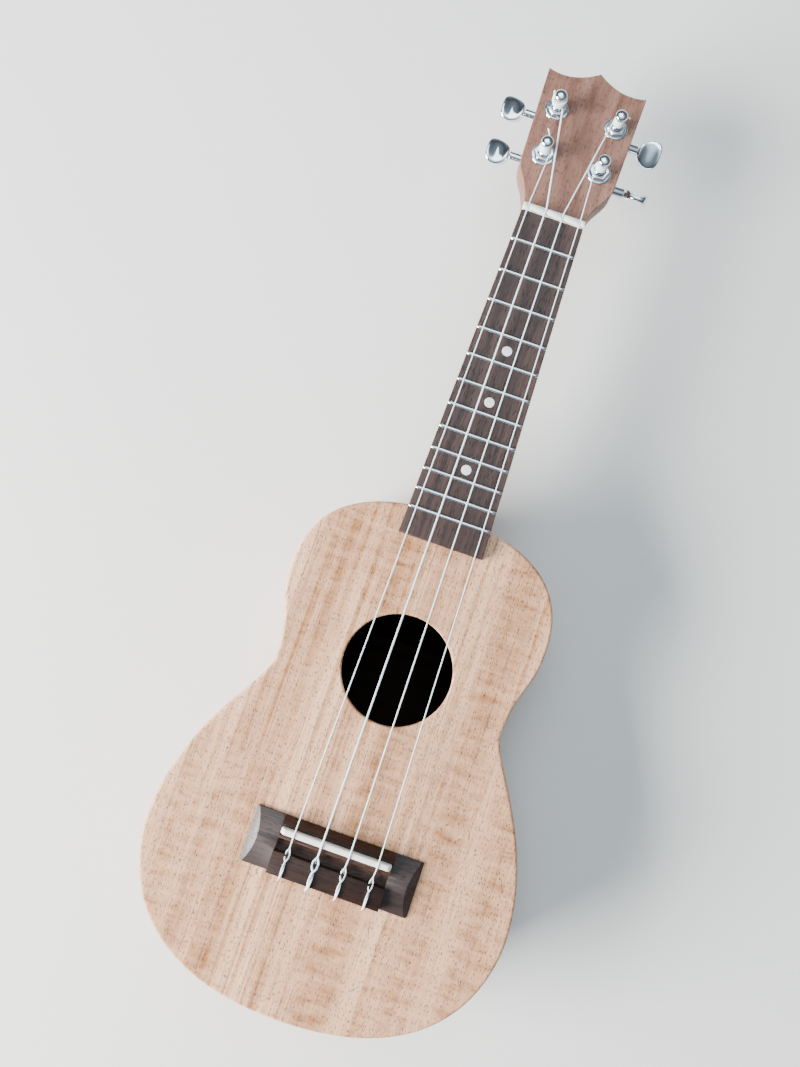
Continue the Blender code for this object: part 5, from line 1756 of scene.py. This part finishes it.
def screw_head(name, radius, tall, material):
    """A domed screw head with a cross-shaped recess, facing +Z."""
    dome = [(radius * math.sin(turn), tall * math.cos(turn)) for turn in quarter_turn(8)]
    head = turned(name, dome + [(radius, -0.3 * MM), (0.0, -0.3 * MM)], material, sides=32)
    for angle in (0.0, math.pi / 2.0):
        bm = bmesh.new()
        bmesh.ops.create_cube(bm, size=1.0)
        bmesh.ops.scale(bm, vec=(radius * 1.1, radius * 0.24, tall), verts=bm.verts)
        bmesh.ops.rotate(bm, verts=bm.verts, matrix=Matrix.Rotation(angle, 3, "Z"))
        bmesh.ops.translate(bm, vec=(0.0, 0.0, tall * 0.95), verts=bm.verts)
        cut_or_joined(head, mesh_piece("recess", bm, material), "DIFFERENCE")
    return head


def make_screws():
    """A screw in the end of each knob, and two that hold each gear cover."""
    for name, side, *_ in TUNERS:
        joint = JOINTS[f"{name}_knob_turn"]
        head = screw_head("knob_screw_head", *KNOB_SCREW, CHROME)
        place = Vector(joint["pos_m"])
        place.x = side * (KNOB_START + KNOB_LENGTH - 0.5 * MM)
        facing = (0.0, side * math.pi / 2.0, 0.0)
        made = repeated(f"{name}_knob_screw", head, [place], [facing], CHROME)
        finished(made, f"{name}_knob", "tuner_chrome")
    places, turns = [], []
    for name, *_ in TUNERS:
        frame_here = head_frame(name)
        face = -HEADSTOCK_THICKNESS - CASE_DEPTH
        for x, y in COVER_SCREW_PLACES:
            places.append(frame_here @ Vector((x, y, face - 0.02 * MM)))
            flip = frame_here.to_3x3() @ Matrix.Rotation(math.pi, 3, "X")
            turns.append(tuple(flip.to_euler()))
    head = screw_head("cover_screw_head", *COVER_SCREW, SHAFT_STEEL)
    made = repeated("cover_screws", head, places, turns, SHAFT_STEEL)
    finished(made, "instrument", "shaft_steel")


def make_tuners():
    for name, side, turn, hexagon_turn in TUNERS:
        make_bushing(name, hexagon_turn)
        make_post(name)
        make_winding(name, side)
        make_knob(name, side, turn)
        make_gear_and_worm(name, side)
        make_case(name)
    make_screws()


def finish_inner_pieces():
    """The braces, blocks and bridge plate keep their shape and get the near-black inner wood:
    painted shade for the dark inside of the body.
    """
    for node in (
        "tail_block",
        "neck_block",
        "top_brace_upper",
        "top_brace_lower",
        "back_brace_upper",
        "back_brace_lower",
        "bridge_plate",
    ):
        data = frame["nodes"][node].data
        data.materials.clear()
        data.materials.append(INNER_PAINTED_SHADE)


# ---------------------------------------------------------------- studio

# Name, place, point it faces, width and length, power, colour
LIGHTS = (
    ("window", (-1.5, -0.95, 0.80), (0.0, -0.05, 0.05), (1.3, 0.9), 215.0, (1.0, 0.985, 0.96)),
    ("ceiling", (-0.3, 0.9, 1.9), (0.0, 0.0, 0.05), (1.4, 1.4), 24.0, (0.80, 0.92, 1.0)),
)
FLOOR_HALF_SIZE = 20.0
FLOOR_GAP = 0.3 * MM
CAMERA_PLACE = (-0.01395, -0.05425, 0.47459)
CAMERA_DEGREES = (5.218, -0.682, 19.141)
CAMERA_LENS = 26.99
SENSOR_WIDTH = 36.0


def floor_finish():
    made = Finish("pale_floor", Specular_IOR_Level=0.3)
    place = made.place()
    clouds = made.noise(made.stretched(place, 1.5, 1.5), detail=4.0)
    grain = made.noise(made.stretched(place, 260.0, 260.0), detail=3.0)
    made.color(made.mixed(made.share(clouds, 0.3, 0.7), (0.80, 0.79, 0.77), (0.76, 0.75, 0.73)))
    made.roughness(made.share(grain, 0.3, 0.7, 0.55, 0.7))
    made.relief(grain, 0.03 * MM, 0.2)
    return made.material


def make_studio():
    bm = bmesh.new()
    bmesh.ops.create_grid(bm, x_segments=4, y_segments=4, size=FLOOR_HALF_SIZE)
    bmesh.ops.translate(bm, vec=(0.0, 0.0, CAD_BOX[0].z - FLOOR_GAP), verts=bm.verts)
    mesh_piece("floor", bm, floor_finish())
    for name, place, aim, size, power, color in LIGHTS:
        data = bpy.data.lights.new(name, "AREA")
        data.shape = "RECTANGLE"
        data.size, data.size_y = size
        data.energy = power
        data.color = color
        light = bpy.data.objects.new(name, data)
        light.location = place
        toward = Vector(aim) - Vector(place)
        light.rotation_euler = toward.to_track_quat("-Z", "Y").to_euler()
        bpy.context.scene.collection.objects.link(light)
    world = bpy.data.worlds.new("soft_room")
    world.use_nodes = True
    bpy.context.scene.world = world
    nodes, links = world.node_tree.nodes, world.node_tree.links
    shade = nodes["Background"]
    shade.inputs["Strength"].default_value = 0.65
    place = nodes.new("ShaderNodeTexCoord")
    height = nodes.new("ShaderNodeSeparateXYZ")
    ramp = nodes.new("ShaderNodeValToRGB")
    first, last = ramp.color_ramp.elements
    first.position, first.color = 0.0, (0.62, 0.63, 0.64, 1.0)
    last.position, last.color = 0.97, (1.7, 2.1, 2.3, 1.0)
    for position, color in (
        (0.22, (0.42, 0.43, 0.45, 1.0)),
        (0.50, (0.10, 0.11, 0.13, 1.0)),
        (0.80, (0.40, 0.48, 0.54, 1.0)),
    ):
        ramp.color_ramp.elements.new(position).color = color
    links.new(place.outputs["Generated"], height.inputs["Vector"])
    links.new(height.outputs["Z"], ramp.inputs["Fac"])
    links.new(ramp.outputs["Color"], shade.inputs["Color"])


def make_camera():
    data = bpy.data.cameras.new("camera")
    data.sensor_fit = "AUTO"
    data.sensor_width = SENSOR_WIDTH
    data.lens = CAMERA_LENS
    data.clip_start = 0.01
    camera = bpy.data.objects.new("camera", data)
    camera.location = CAMERA_PLACE
    camera.rotation_euler = [math.radians(angle) for angle in CAMERA_DEGREES]
    bpy.context.scene.collection.objects.link(camera)
    bpy.context.scene.camera = camera


make_camera()
make_studio()
make_body()
make_linings()
make_neck()
make_fretboard()
make_nut_and_bridge()
make_strings()
make_tuners()
finish_inner_pieces()
